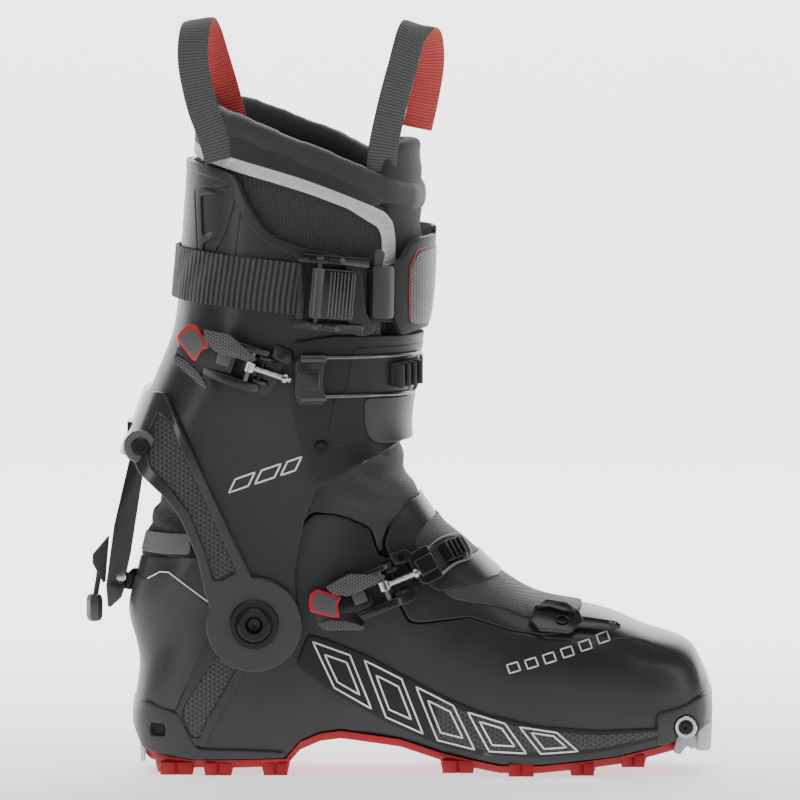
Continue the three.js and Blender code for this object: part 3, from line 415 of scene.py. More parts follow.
@dataclass(frozen=True)
class SpacerMesh(Finish):
    """Knitted spacer mesh with rows of holes."""

    pitch: float = 0.0034
    hole: Colour = (0.002, 0.002, 0.002)
    yarn: float = 0.0007

    def dress(self, tree: Tree, shader: bpy.types.Node) -> None:
        """Joins the holes and a fine weave to the shader."""
        hole = tree.use(mesh_holes(), Pitch=self.pitch)["Hole"]
        weave = tree.use(plain_weave(), Pitch=self.yarn)
        yarn = tree.blend(tree.span(weave["Height"], 0.2, 1.2), self.colour, scaled(self.colour, 2.2))
        tree.fix(shader, Base_Color=tree.blend(hole, yarn, self.hole),
                 Roughness=tree.span(weave["Fuzz"], 0.3, 0.7, self.rough - 0.05, self.rough), Sheen_Weight=0.2,
                 Normal=tree.bump(tree.plus(tree.times(weave["Height"], 0.3), hole, -1.0), 0.9, 0.0005))


@dataclass(frozen=True)
class Webbing(Finish):
    """Woven strap with cords across it."""

    rib: float = 0.003
    yarn: float = 0.0008
    light: Colour = (0.11, 0.11, 0.115)

    def dress(self, tree: Tree, shader: bpy.types.Node) -> None:
        """Joins the ribs to the shader."""
        ribs = tree.use(web_ribs(), Rib=self.rib, Yarn=self.yarn)
        tree.fix(shader, Base_Color=tree.blend(ribs["Knot"], self.colour, self.light),
                 Roughness=tree.span(ribs["Knot"], 0, 1, self.rough, self.rough - 0.15), Sheen_Weight=0.15,
                 Normal=tree.bump(ribs["Height"], 0.8, 0.0004))


@dataclass(frozen=True)
class Metal(Finish):
    """Steel with fine grain and soft blotches."""

    metallic: float = 1.0

    def dress(self, tree: Tree, shader: bpy.types.Node) -> None:
        """Joins grain and blotches to the shader."""
        grain = tree.use(moulded_grain(), Scale=1500.0, Spread=140.0)
        tree.fix(shader, Base_Color=tree.blend(grain["Blotch"], scaled(self.colour, 0.82), self.colour),
                 Roughness=tree.span(grain["Height"], 0.3, 0.7, self.rough - 0.06, self.rough + 0.1),
                 Metallic=self.metallic, Normal=tree.bump(grain["Height"], 0.25, 0.00003))


SHELL_BLACK = Moulded("shell_black", "shell_plastic", (0.03, 0.03, 0.032), 0.36, depth=0.00005, coat=0.1)
HEEL_GREY = Moulded("heel_grey", "shell_plastic", (0.05, 0.05, 0.052), 0.4, depth=0.00005)
CUFF_BLACK = Moulded("cuff_black", "shell_plastic", (0.026, 0.026, 0.028), 0.38, depth=0.00005, coat=0.08)
FLAP_BLACK = Moulded("flap_black", "panel_plastic", (0.016, 0.0165, 0.019), 0.42)
STRUT_GLOSS = Moulded("strut_gloss", "strut_plastic", (0.03, 0.031, 0.035), 0.24, grain=500.0, depth=0.00002, coat=0.35)
BUCKLE_BLACK = Moulded("buckle_black", "panel_plastic", (0.012, 0.0125, 0.014), 0.22, grain=400.0,
                       depth=0.00002, coat=0.3)
GRIP_RUBBER = Gripped("grip_rubber", "textured_rubber", (0.007, 0.007, 0.008), 0.55)
WING_GRIP = Gripped("wing_grip", "textured_rubber", (0.02, 0.02, 0.022), 0.45, pitch=0.0015, light=(0.11, 0.11, 0.115))
SMOOTH_RUBBER = Moulded("smooth_rubber", "textured_rubber", (0.013, 0.013, 0.015), 0.5, grain=1200.0, depth=0.0001)
SOLE_RED = Moulded("sole_red", "sole_rubber", (0.33, 0.008, 0.014), 0.5, worn_and_highlit=(0.42, 0.03, 0.035), grain=700.0)
PAD_RED = Moulded("pad_red", "red_plastic", (0.6, 0.02, 0.028), 0.38, worn_and_highlit=(0.65, 0.12, 0.12))
PAD_GREY = Moulded("pad_grey", "grey_plastic", (0.1, 0.102, 0.106), 0.4, worn_and_highlit=(0.25, 0.25, 0.26))
PANEL_GREY = Moulded("panel_grey", "grey_plastic", (0.055, 0.056, 0.06), 0.42, worn_and_highlit=(0.18, 0.18, 0.19))
TOE_GREY = Moulded("toe_grey", "grey_plastic", (0.42, 0.43, 0.44), 0.45, worn_and_highlit=(0.6, 0.6, 0.6))
PRINT_WHITE = Moulded("print_white", "white_fabric", (0.8, 0.8, 0.8), 0.5, worn_and_highlit=(0.85, 0.85, 0.85), grain=600.0)
STEEL = Metal("bright_steel", "steel", (0.62, 0.63, 0.65), 0.24)
DARK_STEEL = Metal("blackened_steel", "dark_steel", (0.018, 0.018, 0.02), 0.2, metallic=0.6)
WIRE_STEEL = Metal("wire_steel", "steel", (0.2, 0.2, 0.21), 0.3)
LINER_CLOTH = Woven("liner_cloth", "black_fabric", (0.008, 0.008, 0.009), 0.92, pitch=0.0016,
                    light=(0.035, 0.035, 0.037))
LINER_FLEECE = Woven("liner_fleece", "black_fabric", (0.006, 0.006, 0.007), 0.95, pitch=0.0009, depth=0.0005,
                     light=(0.03, 0.03, 0.032), sheen=0.4)
NEOPRENE = Woven("neoprene", "black_fabric", (0.016, 0.0165, 0.018), 0.8, pitch=0.0007, depth=0.00008,
                 light=(0.034, 0.035, 0.037), sheen=0.35)
LINER_MESH = SpacerMesh("liner_mesh", "black_fabric", (0.022, 0.022, 0.024), 0.85)
GAITER_CLOTH = SpacerMesh("gaiter_cloth", "black_fabric", (0.03, 0.03, 0.033), 0.7, pitch=0.0026)
STITCH_WHITE = Woven("stitch_white", "white_fabric", (0.5, 0.5, 0.5), 0.8, pitch=0.0014, light=(0.86, 0.86, 0.85))
TAG_GREY = Woven("tag_grey", "grey_webbing", (0.09, 0.09, 0.094), 0.8, pitch=0.001, light=(0.16, 0.16, 0.165))
STRAP_WEB = Webbing("strap_web", "black_webbing", (0.006, 0.006, 0.007), 0.75)
LOOP_WEB = Webbing("loop_web", "grey_webbing", (0.05, 0.051, 0.053), 0.8, rib=0.0016, yarn=0.0011,
                   light=(0.16, 0.16, 0.165))
LOOP_RED = Webbing("loop_red", "grey_webbing", (0.5, 0.05, 0.045), 0.8, rib=0.0016, yarn=0.0011,
                   light=(0.75, 0.14, 0.12))
CORD_BRAID = Woven("cord_braid", "cord", (0.01, 0.01, 0.011), 0.85, pitch=0.0011, light=(0.06, 0.06, 0.06))
SHADOW_BLACK = Moulded("shadow_black", "panel_plastic", (0.002, 0.002, 0.002), 0.7, worn_and_highlit=(0.01, 0.01, 0.01))


# ---------------- outlines
def filleted(points: Outline, radius: float, steps: int = 5) -> np.ndarray:
    """Rounds every corner of a closed outline.

    Args:
        points: its corners.
        radius: how far along each side the rounding starts.
        steps: pieces of each rounding.

    Returns:
        The rounded outline's points.
    """
    corners = np.array(points, float)
    made = []
    for i, corner in enumerate(corners):
        back, ahead = corners[i - 1] - corner, corners[(i + 1) % len(corners)] - corner
        long_back, long_ahead = np.linalg.norm(back), np.linalg.norm(ahead)
        start = corner + back / long_back * min(radius, 0.45 * long_back)
        end = corner + ahead / long_ahead * min(radius, 0.45 * long_ahead)
        for s in np.linspace(0, 1, steps):
            made.append((1 - s) ** 2 * start + 2 * s * (1 - s) * corner + s * s * end)
    return np.array(made)


def inside_distance(outline: np.ndarray, x: np.ndarray, z: np.ndarray) -> np.ndarray:
    """Signed distance to a closed outline, positive inside.

    Args:
        outline: its points.
        x: places along X.
        z: places along Z.

    Returns:
        The distance of every place.
    """
    best = np.full(x.shape, 1e9)
    within = np.zeros(x.shape, bool)
    for (x0, z0), (x1, z1) in zip(outline, np.roll(outline, -1, axis=0)):
        dx, dz = x1 - x0, z1 - z0
        share = np.clip(((x - x0) * dx + (z - z0) * dz) / max(dx * dx + dz * dz, 1e-12), 0, 1)
        best = np.minimum(best, np.hypot(x - x0 - share * dx, z - z0 - share * dz))
        crosses = (z0 > z) != (z1 > z)
        if abs(dz) > 1e-12:
            within ^= crosses & (x < x0 + (z - z0) * dx / dz)
    return np.where(within, best, -best)


@dataclass(frozen=True)
class Region:
    """A side-view region, as a signed distance that is positive inside."""

    distance: Field

    @staticmethod
    def outline(points: Outline, radius: float = 1.5) -> "Region":
        """A region inside a rounded outline."""
        rounded = filleted(points, radius)
        return Region(lambda p: inside_distance(rounded, p[:, 0], p[:, 2]))

    @staticmethod
    def disc(x: float, z: float, radius: float) -> "Region":
        """A round region."""
        return Region(lambda p: radius - np.hypot(p[:, 0] - x, p[:, 2] - z))

    @staticmethod
    def side(which: Side, near: float = 1.0) -> "Region":
        """Everything on one side of the boot, beyond a distance from its middle."""
        return Region(lambda p: p[:, 1] * which.value - near)

    def lateral(self, past: float = 0.0) -> "Region":
        """The region's lateral part, reaching past the middle."""
        return self & Region(lambda p: past - p[:, 1])

    def medial(self, past: float = 0.0) -> "Region":
        """The region's medial part, reaching past the middle."""
        return self & Region(lambda p: past + p[:, 1])

    def __or__(self, other: "Region") -> "Region":
        """Both regions together."""
        return Region(lambda p: np.maximum(self.distance(p), other.distance(p)))

    def __and__(self, other: "Region") -> "Region":
        """What the regions share."""
        return Region(lambda p: np.minimum(self.distance(p), other.distance(p)))

    def __sub__(self, other: "Region") -> "Region":
        """This region without the other."""
        return Region(lambda p: np.minimum(self.distance(p), -other.distance(p)))


# ---------------- surfaces
def smooth_rows(rows: np.ndarray, steps: int) -> np.ndarray:
    """Fills in rows between the given ones on a smooth curve.

    Args:
        rows: the given rows.
        steps: how many rows each gap becomes.

    Returns:
        All rows.
    """
    ends = np.vstack([2 * rows[0] - rows[1], rows, 2 * rows[-1] - rows[-2]])
    made = []
    for a, b, c, d in zip(ends, ends[1:], ends[2:], ends[3:]):
        for s in np.arange(steps) / steps:
            made.append(0.5 * (2 * b + (c - a) * s + (2 * a - 5 * b + 4 * c - d) * s * s
                               + (3 * b - a - 3 * c + d) * s ** 3))
    made.append(rows[-1])
    return np.array(made)


def unit(rows: np.ndarray) -> np.ndarray:
    """Rows made one long; a row of nothing stays as it is."""
    return rows / np.maximum(np.linalg.norm(rows, axis=-1, keepdims=True), 1e-9)


def lengths(points: np.ndarray) -> np.ndarray:
    """How far along a line each of its points lies."""
    return np.concatenate([[0], np.cumsum(np.linalg.norm(np.diff(points, axis=0), axis=1))])


@dataclass
class Patch:
    """A piece of surface: per point its place, normal, and run along and across, in eight columns."""

    data: np.ndarray
    faces: list[tuple[int, ...]]

    def trimmed(self, distance: Field) -> "Patch":
        """Keeps the part where a field is positive, cut cleanly along its edge.

        Args:
            distance: the field.

        Returns:
            The trimmed patch.
        """
        value = distance(self.data[:, :3])
        inside = value > 0
        rows = list(self.data)
        made: dict[tuple[int, int], int] = {}

        def crossing(a: int, b: int) -> int:
            """The point where the field is zero between two points."""
            key = (min(a, b), max(a, b))
            if key not in made:
                share = min(max(value[a] / (value[a] - value[b]), 0.03), 0.97)
                made[key] = len(rows)
                rows.append(self.data[a] + (self.data[b] - self.data[a]) * share)
            return made[key]

        kept: list[tuple[int, ...]] = []
        for face in self.faces:
            flags = [inside[i] for i in face]
            if all(flags):
                kept.append(face)
            elif any(flags):
                loop = []
                for a, b in zip(face, face[1:] + face[:1]):
                    if inside[a]:
                        loop.append(a)
                    if inside[a] != inside[b]:
                        loop.append(crossing(a, b))
                kept.append(tuple(loop))
        used = sorted({i for face in kept for i in face})
        index = {old: new for new, old in enumerate(used)}
        return Patch(np.array(rows)[used] if used else np.zeros((0, 8)), [tuple(index[i] for i in f) for f in kept])

    def lifted(self, height: Callable[[np.ndarray], np.ndarray]) -> "Patch":
        """Moves every point along its normal.

        Args:
            height: gives each point's rise from all eight columns.

        Returns:
            The moved patch.
        """
        data = self.data.copy()
        data[:, :3] += data[:, 3:6] * height(self.data)[:, None]
        return Patch(data, self.faces)

    def slab(self, thick: float, edge: float) -> tuple[np.ndarray, list[tuple[int, ...]], np.ndarray]:
        """Turns the patch into a closed piece with rounded outer edges.

        Args:
            thick: its thickness, below the patch.
            edge: the rounding's radius; the patch is already this much smaller.

        Returns:
            Points, faces and the two run columns.
        """
        count = len(self.data)
        place, normal = self.data[:, :3], self.data[:, 3:6]
        tally: dict[tuple[int, int], int] = {}
        for face in self.faces:
            for a, b in zip(face, face[1:] + face[:1]):
                tally[(a, b)] = 1
        rim = [(a, b) for a, b in tally if (b, a) not in tally]
        out = np.zeros((count, 3))
        for a, b in rim:
            along = place[b] - place[a]
            for i in (a, b):
                out[i] += np.cross(along, normal[i])
        out = unit(out)
        border = sorted({i for pair in rim for i in pair})
        spot = {i: k for k, i in enumerate(border)}
        rings = [(edge * math.sin(a), edge * (1 - math.cos(a))) for a in np.radians([25, 50, 72, 90])]
        rings += [(edge, thick)]
        points, source = [place, place - normal * thick], [np.arange(count), np.arange(count)]
        for outwards, down in rings:
            points.append(place[border] + out[border] * outwards - normal[border] * down)
            source.append(np.array(border, int))
        faces = list(self.faces) + [tuple(count + i for i in reversed(f)) for f in self.faces]
        start = 2 * count
        size = len(border)
        for a, b in rim:
            chain_a = [a] + [start + k * size + spot[a] for k in range(len(rings))] + [count + a]
            chain_b = [b] + [start + k * size + spot[b] for k in range(len(rings))] + [count + b]
            for k in range(len(chain_a) - 1):
                faces.append((chain_b[k], chain_a[k], chain_a[k + 1], chain_b[k + 1]))
        runs = self.data[np.concatenate(source), 6:8]
        return np.vstack(points), faces, runs


class Form:
    """A body through superellipse sections, such as the foot of the shell or the leg of the cuff."""

    def __init__(self, rows: Sequence[Sequence[float]], steps: int, sides: int) -> None:
        """Fills in the sections.

        Args:
            rows: low point X and Z, high point X and Z, half width and squareness of each section.
            steps: rows made between two given ones.
            sides: points around each row.
        """
        self.rows = smooth_rows(np.array(rows, float), steps)
        self.sides = sides
        self.kept: dict[float, Patch] = {}
        self.trees: dict[float, BVHTree] = {}

    def skin(self, t: float, sides: int = 0) -> Patch:
        """The closed surface, moved outwards.

        Args:
            t: how far out.
            sides: points around, or 0 for the form's own.

        Returns:
            The surface as a patch.
        """
        sides = sides or self.sides
        key = t * 1000 + sides
        if key in self.kept:
            return self.kept[key]
        angle = np.linspace(0, math.tau, 1441)
        grid = []
        for xl, zl, xh, zh, half, square in self.rows:
            long = math.hypot(xh - xl, zh - zl)
            ux, uz = (xh - xl) / long, (zh - zl) / long
            power = 2 / square
            along = np.sign(np.cos(angle)) * np.abs(np.cos(angle)) ** power * (long / 2 + t)
            across = np.sign(np.sin(angle)) * np.abs(np.sin(angle)) ** power * (half + t)
            run = np.concatenate([[0], np.cumsum(np.hypot(np.diff(along), np.diff(across)))])
            wanted = np.linspace(0, run[-1], sides + 1)[:-1]
            a, c = np.interp(wanted, run, along), np.interp(wanted, run, across)
            cx, cz = (xl + xh) / 2, (zl + zh) / 2
            grid.append(np.stack([cx + ux * a, c, cz + uz * a, wanted], axis=1))
        grid = np.array(grid)
        place = grid[:, :, :3]
        down = np.gradient(place, axis=0)
        around = (np.roll(place, -1, axis=1) - np.roll(place, 1, axis=1)) / 2
        normal = unit(np.cross(around, down))
        middle = place.mean(axis=1, keepdims=True)
        flip = np.sum(normal * (place - middle)) < 0
        normal = -normal if flip else normal
        rise = lengths(place.mean(axis=1))
        runs = np.stack([grid[:, :, 3], np.repeat(rise[:, None], sides, axis=1)], axis=2)
        data = np.concatenate([place, normal, runs], axis=2).reshape(-1, 8)
        faces = rings(len(self.rows), sides)
        self.kept[key] = Patch(data, [face[::-1] for face in faces] if flip else faces)
        return self.kept[key]

    def panel(self, t: float, thick: float, region: Region, edge: float = 0.8, sides: int = 0,
              relief: Callable[[np.ndarray], np.ndarray] | None = None) -> tuple:
        """A panel lying on the form.

        Args:
            t: height of its outer face over the form.
            thick: its thickness.
            region: its side-view region.
            edge: radius of its rounded edges.
            sides: points around, or 0 for the form's own.
            relief: extra height of each point.

        Returns:
            Points, faces and runs of the closed panel.
        """
        patch = self.skin(t, sides).trimmed(lambda p: region.distance(p) - edge)
        if relief:
            patch = patch.lifted(relief)
        return patch.slab(thick, edge)

    def touch(self, x: float, z: float, side: Side = Side.LATERAL, t: float = 0.0) -> tuple[Vector, Vector]:
        """The surface point seen at a side-view place.

        Args:
            x: place along X.
            z: place along Z.
            side: the side looked at.
            t: height over the form.

        Returns:
            The point and the outward normal.
        """
        if t not in self.trees:
            patch = self.skin(t)
            self.trees[t] = BVHTree.FromPolygons([tuple(p) for p in patch.data[:, :3]], patch.faces)
        start = Vector((x, side.value * 200.0, z))
        place, normal, _, _ = self.trees[t].ray_cast(start, Vector((0, -side.value, 0)))
        if place is None:
            return Vector((x, 0, z)), Vector((0, side.value, 0))
        return place, normal if normal.y * side.value > 0 else -normal

    def seat(self, x: float, z: float, turn: float, lift: float, side: Side = Side.LATERAL) -> Matrix:
        """Axes standing on the side: x along a turned direction, y across it, z straight out.

        Args:
            x: place along X.
            z: place along Z.
            turn: degrees from +X towards +Z.
            lift: height over the form.
            side: the side it stands on.

        Returns:
            The axes as a matrix in millimetres.
        """
        place, normal = self.touch(x, z, side)
        a = math.radians(turn)
        along = Vector((math.cos(a), 0, math.sin(a)))
        along = (along - normal * along.dot(normal)).normalized()
        across = normal.cross(along)
        return axes(along, across, normal, place + normal * lift)


def axes(x: Vector, y: Vector, z: Vector, at: Vector) -> Matrix:
    """A matrix from three axes and a place."""
    turn = Matrix((x, y, z)).transposed().to_4x4()
    turn.translation = at
    return turn


# ---------------- meshes
def piece(name: str, parts: Sequence[tuple], body: Body | None, finishes: Sequence[Finish],
          stands_for: Sequence[str] = (), sharp: float = ROUND) -> bpy.types.Object:
    """Makes one object from meshes in millimetres.

    Args:
        name: the piece's name.
        parts: for each mesh its points, faces, runs or None, and optionally a finish index.
        body: the body it rides, or None for a piece that rides no body.
        finishes: its materials, in slot order.
        stands_for: CAD nodes that it replaces.
        sharp: edges over this many degrees stay sharp in shading.

    Returns:
        The object.
    """
    points: list[np.ndarray] = []
    faces: list[tuple[int, ...]] = []
    runs: list[np.ndarray] = []
    looks: list[int] = []
    total = 0
    for part in parts:
        place = np.array(part[0], float).reshape(-1, 3)
        run = part[2] if len(part) > 2 and part[2] is not None else place[:, [0, 2]]
        points.append(place)
        runs.append(np.array(run, float))
        faces += [tuple(i + total for i in face) for face in part[1]]
        looks += [part[3] if len(part) > 3 else 0] * len(part[1])
        total += len(place)
    place = np.vstack(points) * MM
    run = np.vstack(runs) * MM
    mesh = bpy.data.meshes.new(name)
    mesh.from_pydata(place.tolist(), [], faces)
    mesh.validate()
    mesh.update()
    layer = mesh.uv_layers.new(name="run")
    loops = np.zeros(len(mesh.loops), np.int32)
    mesh.loops.foreach_get("vertex_index", loops)
    layer.data.foreach_set("uv", run[loops].astype(np.float32).ravel())
    if len(mesh.polygons) == len(looks):
        mesh.polygons.foreach_set("material_index", np.array(looks, np.int32))
    mesh.polygons.foreach_set("use_smooth", np.ones(len(mesh.polygons), bool))
    mesh.set_sharp_from_angle(angle=math.radians(sharp))
    for finish in finishes:
        mesh.materials.append(finish.material())
    made = bpy.data.objects.new(name, mesh)
    bpy.context.scene.collection.objects.link(made)
    if body:
        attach(made, body.value)
    if stands_for:
        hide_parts(*stands_for)
    LOG.info("%s: %d faces", name, len(mesh.polygons))
    return made


def skin(node: str, parts: Sequence[tuple], body: Body | None, *finishes: Finish) -> bpy.types.Object:
    """A piece that stands for one CAD node and takes its name."""
    return piece(f"{node}_skin", parts, body, finishes, [node])


def from_bmesh(work: bmesh.types.BMesh, turn: Matrix | None = None, finish: int = 0) -> tuple:
    """Takes points and faces out of a bmesh and frees it.

    Args:
        work: the bmesh, in millimetres.
        turn: a matrix for its points.
        finish: the finish index of its faces.

    Returns:
        Points, faces, no runs and the finish index.
    """
    if turn is not None:
        work.transform(turn)
    work.verts.index_update()
    points = np.array([v.co[:] for v in work.verts], float)
    faces = [tuple(v.index for v in f.verts) for f in work.faces]
    work.free()
    return points, faces, None, finish


def block(outline: Outline, low: float, high: float, turn: Matrix, edge: float = 0.5, finish: int = 0,
          radius: float = 1.0) -> tuple:
    """A flat block with rounded edges, drawn in x and y and rising along z.

    Args:
        outline: its corners.
        low: its underside's height.
        high: its top's height.
        turn: where it stands.
        edge: radius of its edges.
        finish: its finish index.
        radius: rounding of its corners.

    Returns:
        A mesh part.
    """
    corners = filleted(outline, radius, 4) if radius > 0 else np.array(outline, float)
    work = bmesh.new()
    bottom = [work.verts.new((x, y, low)) for x, y in corners]
    top = [work.verts.new((x, y, high)) for x, y in corners]
    work.faces.new(top)
    work.faces.new(bottom[::-1])
    count = len(corners)
    for i in range(count):
        work.faces.new((bottom[i], bottom[(i + 1) % count], top[(i + 1) % count], top[i]))
    bmesh.ops.recalc_face_normals(work, faces=work.faces)
    rims = [e for e in work.edges if abs(e.verts[0].co.z - e.verts[1].co.z) < 1e-6]
    if edge > 0:
        bmesh.ops.bevel(work, geom=rims, offset=min(edge, (high - low) * 0.45), segments=3, profile=0.5,
                        affect="EDGES", clamp_overlap=True)
    return from_bmesh(work, turn, finish)


def upright(outline: Outline, low: float, high: float, turn: Matrix, edge: float = 0.4, finish: int = 0,
            radius: float = 0.8) -> tuple:
    """A block drawn in x and z, reaching from low to high along y."""
    stand = Matrix(((1, 0, 0, 0), (0, 0, -1, 0), (0, 1, 0, 0), (0, 0, 0, 1)))
    return block(outline, -high, -low, turn @ stand, edge, finish, radius)


def bar(turn: Matrix, start: Sequence[float], end: Sequence[float], radius: float, finish: int = 0) -> tuple:
    """A round bar with chamfered ends.

    Args:
        turn: the axes that its ends are given in.
        start: its start.
        end: its end.
        radius: its radius.
        finish: its finish index.

    Returns:
        A mesh part.
    """
    start, end = turn @ Vector(start), turn @ Vector(end)
    long, edge = (end - start).length, BAR_CHAMFER
    profile = [(0, 0), (0, radius - edge), (edge, radius), (long - edge, radius), (long, radius - edge), (long, 0)]
    return lathe(profile, axes_along((end - start).normalized(), start), finish, BAR_SIDES)


def axes_along(way: Vector, at: Vector) -> Matrix:
    """Axes whose z runs along a direction."""
    turn = way.to_track_quat("Z", "Y").to_matrix().to_4x4()
    turn.translation = at
    return turn


def rings(count: int, sides: int) -> list[tuple[int, ...]]:
    """The faces between so many rings of points, one after another."""
    return [(i * sides + k, i * sides + (k + 1) % sides, (i + 1) * sides + (k + 1) % sides, (i + 1) * sides + k)
            for i in range(count - 1) for k in range(sides)]


def lathe(profile: Sequence[tuple[float, float]], turn: Matrix, finish: int = 0, sides: int = 32) -> tuple:
    """Turns a profile of heights and radii about the z axis.

    Args:
        profile: heights and radii, from one end on the axis to the other.
        turn: where it stands.
        finish: its finish index.
        sides: points around.

    Returns:
        A mesh part.
    """
    points = []
    for height, radius in profile:
        wide = max(radius, 1e-4)
        for k in range(sides):
            a = math.tau * k / sides
            points.append((turn @ Vector((wide * math.cos(a), wide * math.sin(a), height)))[:])
    return np.array(points), rings(len(profile), sides), None, finish


def smooth_path(points: Sequence[Sequence[float]], steps: int = 8) -> np.ndarray:
    """A smooth line through points."""
    return smooth_rows(np.array(points, float), steps)


def tube(path: np.ndarray, radius: float, finish: int = 0, sides: int = 14,
         thread: float = 0.0, pitch: float = 1.0) -> tuple:
    """A round tube along a line.

    Args:
        path: the line's points.
        radius: its radius.
        finish: its finish index.
        sides: points around.
        thread: depth of a screw thread on it.
        pitch: the thread's pitch.

    Returns:
        A mesh part.
    """
    way = unit(np.gradient(path, axis=0))
    across = unit(np.cross(way[0], (0.3, 0.2, 0.9)))
    run = lengths(path)
    points, runs = [], []
    for i, at in enumerate(path):
        across = unit(across - way[i] * across.dot(way[i]))
        other = np.cross(way[i], across)
        for k in range(sides):
            a = math.tau * k / sides
            wide = radius - thread * (0.5 + 0.5 * math.sin(math.tau * run[i] / pitch + a))
            points.append(at + (across * math.cos(a) + other * math.sin(a)) * wide)
            runs.append((run[i], radius * a))
    ends = [tuple(reversed(range(sides))), tuple(range((len(path) - 1) * sides, len(path) * sides))]
    return np.array(points), rings(len(path), sides) + ends, np.array(runs), finish


def ribbon(path: np.ndarray, across: np.ndarray, wide: float, thick: float, finishes: tuple[int, int],
           columns: int = 7) -> tuple:
    """A flat band along a line, with one finish on each face.

    Args:
        path: its centre line.
        across: its width direction at each point.
        wide: its width.
        thick: its thickness.
        finishes: finish indices of its outer and inner face.
        columns: points across it.

    Returns:
        A list of two mesh parts, outer and inner.
    """
    way = unit(np.gradient(path, axis=0))
    across = unit(across - way * np.sum(across * way, axis=1, keepdims=True))
    out = np.cross(across, way)
    run = lengths(path)
    shares = np.linspace(-1, 1, columns)
    parts = []
    for sign, finish in zip((1, -1), finishes):
        points, runs, faces = [], [], []
        for i, at in enumerate(path):
            for s in shares:
                puff = thick / 2 * (1 - 0.75 * abs(s) ** 6) * sign
                points.append(at + across[i] * s * wide / 2 + out[i] * puff)
                runs.append((run[i], s * wide / 2))
            edge = across[i] * (wide / 2 + thick * 0.2)
            points += [at + edge, at - edge]
            runs += [(run[i], wide / 2), (run[i], -wide / 2)]
        size = columns + 2
        order = [columns + 1] + list(range(columns)) + [columns]
        for i in range(len(path) - 1):
            for a, b in zip(order, order[1:]):
                face = (i * size + a, i * size + b, (i + 1) * size + b, (i + 1) * size + a)
                faces.append(face if sign > 0 else face[::-1])
        parts.append((np.array(points), faces, np.array(runs), finish))
    return parts


def refined(node: str, body: Body, finish: Finish, edge: float = 0.3) -> bpy.types.Object:
    """A CAD piece with its flats joined, its edges rounded and a finish of its own.

    Args:
        node: the CAD node.
        body: the body it rides.
        finish: its finish.
        edge: radius of its edges in millimetres.

    Returns:
        The object that stands for the node.
    """
    work = bmesh.new()
    work.from_mesh(frame["nodes"][node].data)
    bmesh.ops.scale(work, vec=[1 / MM] * 3, verts=work.verts)
    bmesh.ops.remove_doubles(work, verts=work.verts, dist=0.002)
    bmesh.ops.dissolve_limit(work, angle_limit=math.radians(1.5), verts=work.verts, edges=work.edges)
    hard = [e for e in work.edges if len(e.link_faces) == 2 and e.calc_face_angle(0) > math.radians(HARD)]
    if edge > 0:
        bmesh.ops.bevel(work, geom=hard, offset=edge, segments=2, profile=0.5, affect="EDGES", clamp_overlap=True)
    bmesh.ops.triangulate(work, faces=[f for f in work.faces if len(f.verts) > 4])
    return piece(node + "_skin", [from_bmesh(work)], body, [finish], [node], sharp=30)


# ---------------- the boot's two bodies
FOOT = Form(
    [
        (254.9, 24, 255.2, 33, 2, 2.2), (254.8, 20, 255, 37, 6, 2.3), (254.4, 16, 254.9, 40, 11, 2.5),
        (253.6, 12, 254.4, 43, 16, 2.7), (249, 8, 250.6, 53, 26, 2.9), (240, 4, 242, 66, 34, 3),
        (222, 0, 220, 74, 42.6, 3), (196, -4, 197, 83, 48.7, 2.9), (166, -8, 166, 89.4, 50.5, 2.7),
        (142, -8, 147, 100, 49.5, 2.5), (118, -4, 135, 110.4, 46.5, 2.5), (92, 4, 126, 118.5, 43.5, 2.6),
        (62, 6, 116, 126.5, 42, 2.8), (34, -6, 109, 136, 42, 3), (-2, -12, 103.6, 144, 42.2, 3),
        (-34, 0, 99.5, 151, 42.4, 3), (-43, 26, 97, 157.5, 42.5, 2.9), (-40.2, 58, 95.6, 163, 42.5, 2.8),
        (-45.6, 83, 95, 168, 42.5, 2.7), (-42.6, 100, 95, 173, 42.5, 2.6), (-39, 116, 95, 178, 42.5, 2.6),
        (-34.6, 132, 95.4, 184, 42.6, 2.6), (-28, 146, 96, 190, 42.8, 2.6), (-16, 172, 99, 212, 43, 2.6),
    ],
    steps=9,
    sides=230,
)
LEG_ROWS = [
    (-72, 34, 116, 34, 46.8, 4.6), (-68, 100, 113, 100, 46.8, 4.6), (-58, 142, 108, 146, 47.2, 4),
    (-44.8, 172, 96.6, 172, 49, 3.1), (-35.8, 195.6, 97.6, 196, 51, 2.7), (-23.4, 227, 103.4, 225, 52.4, 2.5),
    (-20, 254.5, 107, 249, 52.8, 2.4), (-17, 293, 108.4, 284, 52, 2.4), (-13.5, 350, 110, 340, 50, 2.4),
]
LEG = Form(LEG_ROWS, steps=18, sides=250)
LEG_FINE = Form(LEG_ROWS, steps=40, sides=460)


def joint(name: str) -> dict:
    """The record's joint of that name."""
    return next(j for j in frame["joints"] if j["name"] == name)


PIVOT = [v / MM for v in joint("cuff_flex")["pos_m"]]
WALK_PIVOT = [v / MM for v in joint("walk_lever_swing")["pos_m"]]
EAR = 24.5
SOLE_LINE = [
    (-39.5, 12.5), (-34.3, 11.3), (-13.8, 7.9), (34.8, 8.9), (42.5, 18), (52.7, 22.5), (63, 23.6), (93.7, 19),
    (114.2, 12.3), (129.5, 8.7), (145, 5.6), (165.4, 5.8), (186, 7.8), (206.3, 10.4), (232, 16.4), (250, 20.5),
]
CUFF_TOP = [
    (84, 264.8), (74.2, 266.8), (57.9, 269.8), (42.5, 273.4), (32.3, 277), (26, 281), (21, 286.7),
    (16.9, 293), (13.3, 299.5), (10.8, 305.7), (7.7, 309.8), (-1, 312.8), (-11.3, 315.4),
]
STRUT_REAR = [
    (-44, 165), (-40.4, 157), (-26.6, 144.4), (-18.9, 134), (-10.2, 113.7), (-6.1, 95.7), (-3.4, 86),
]
MEDIAL_RISE = 0.09
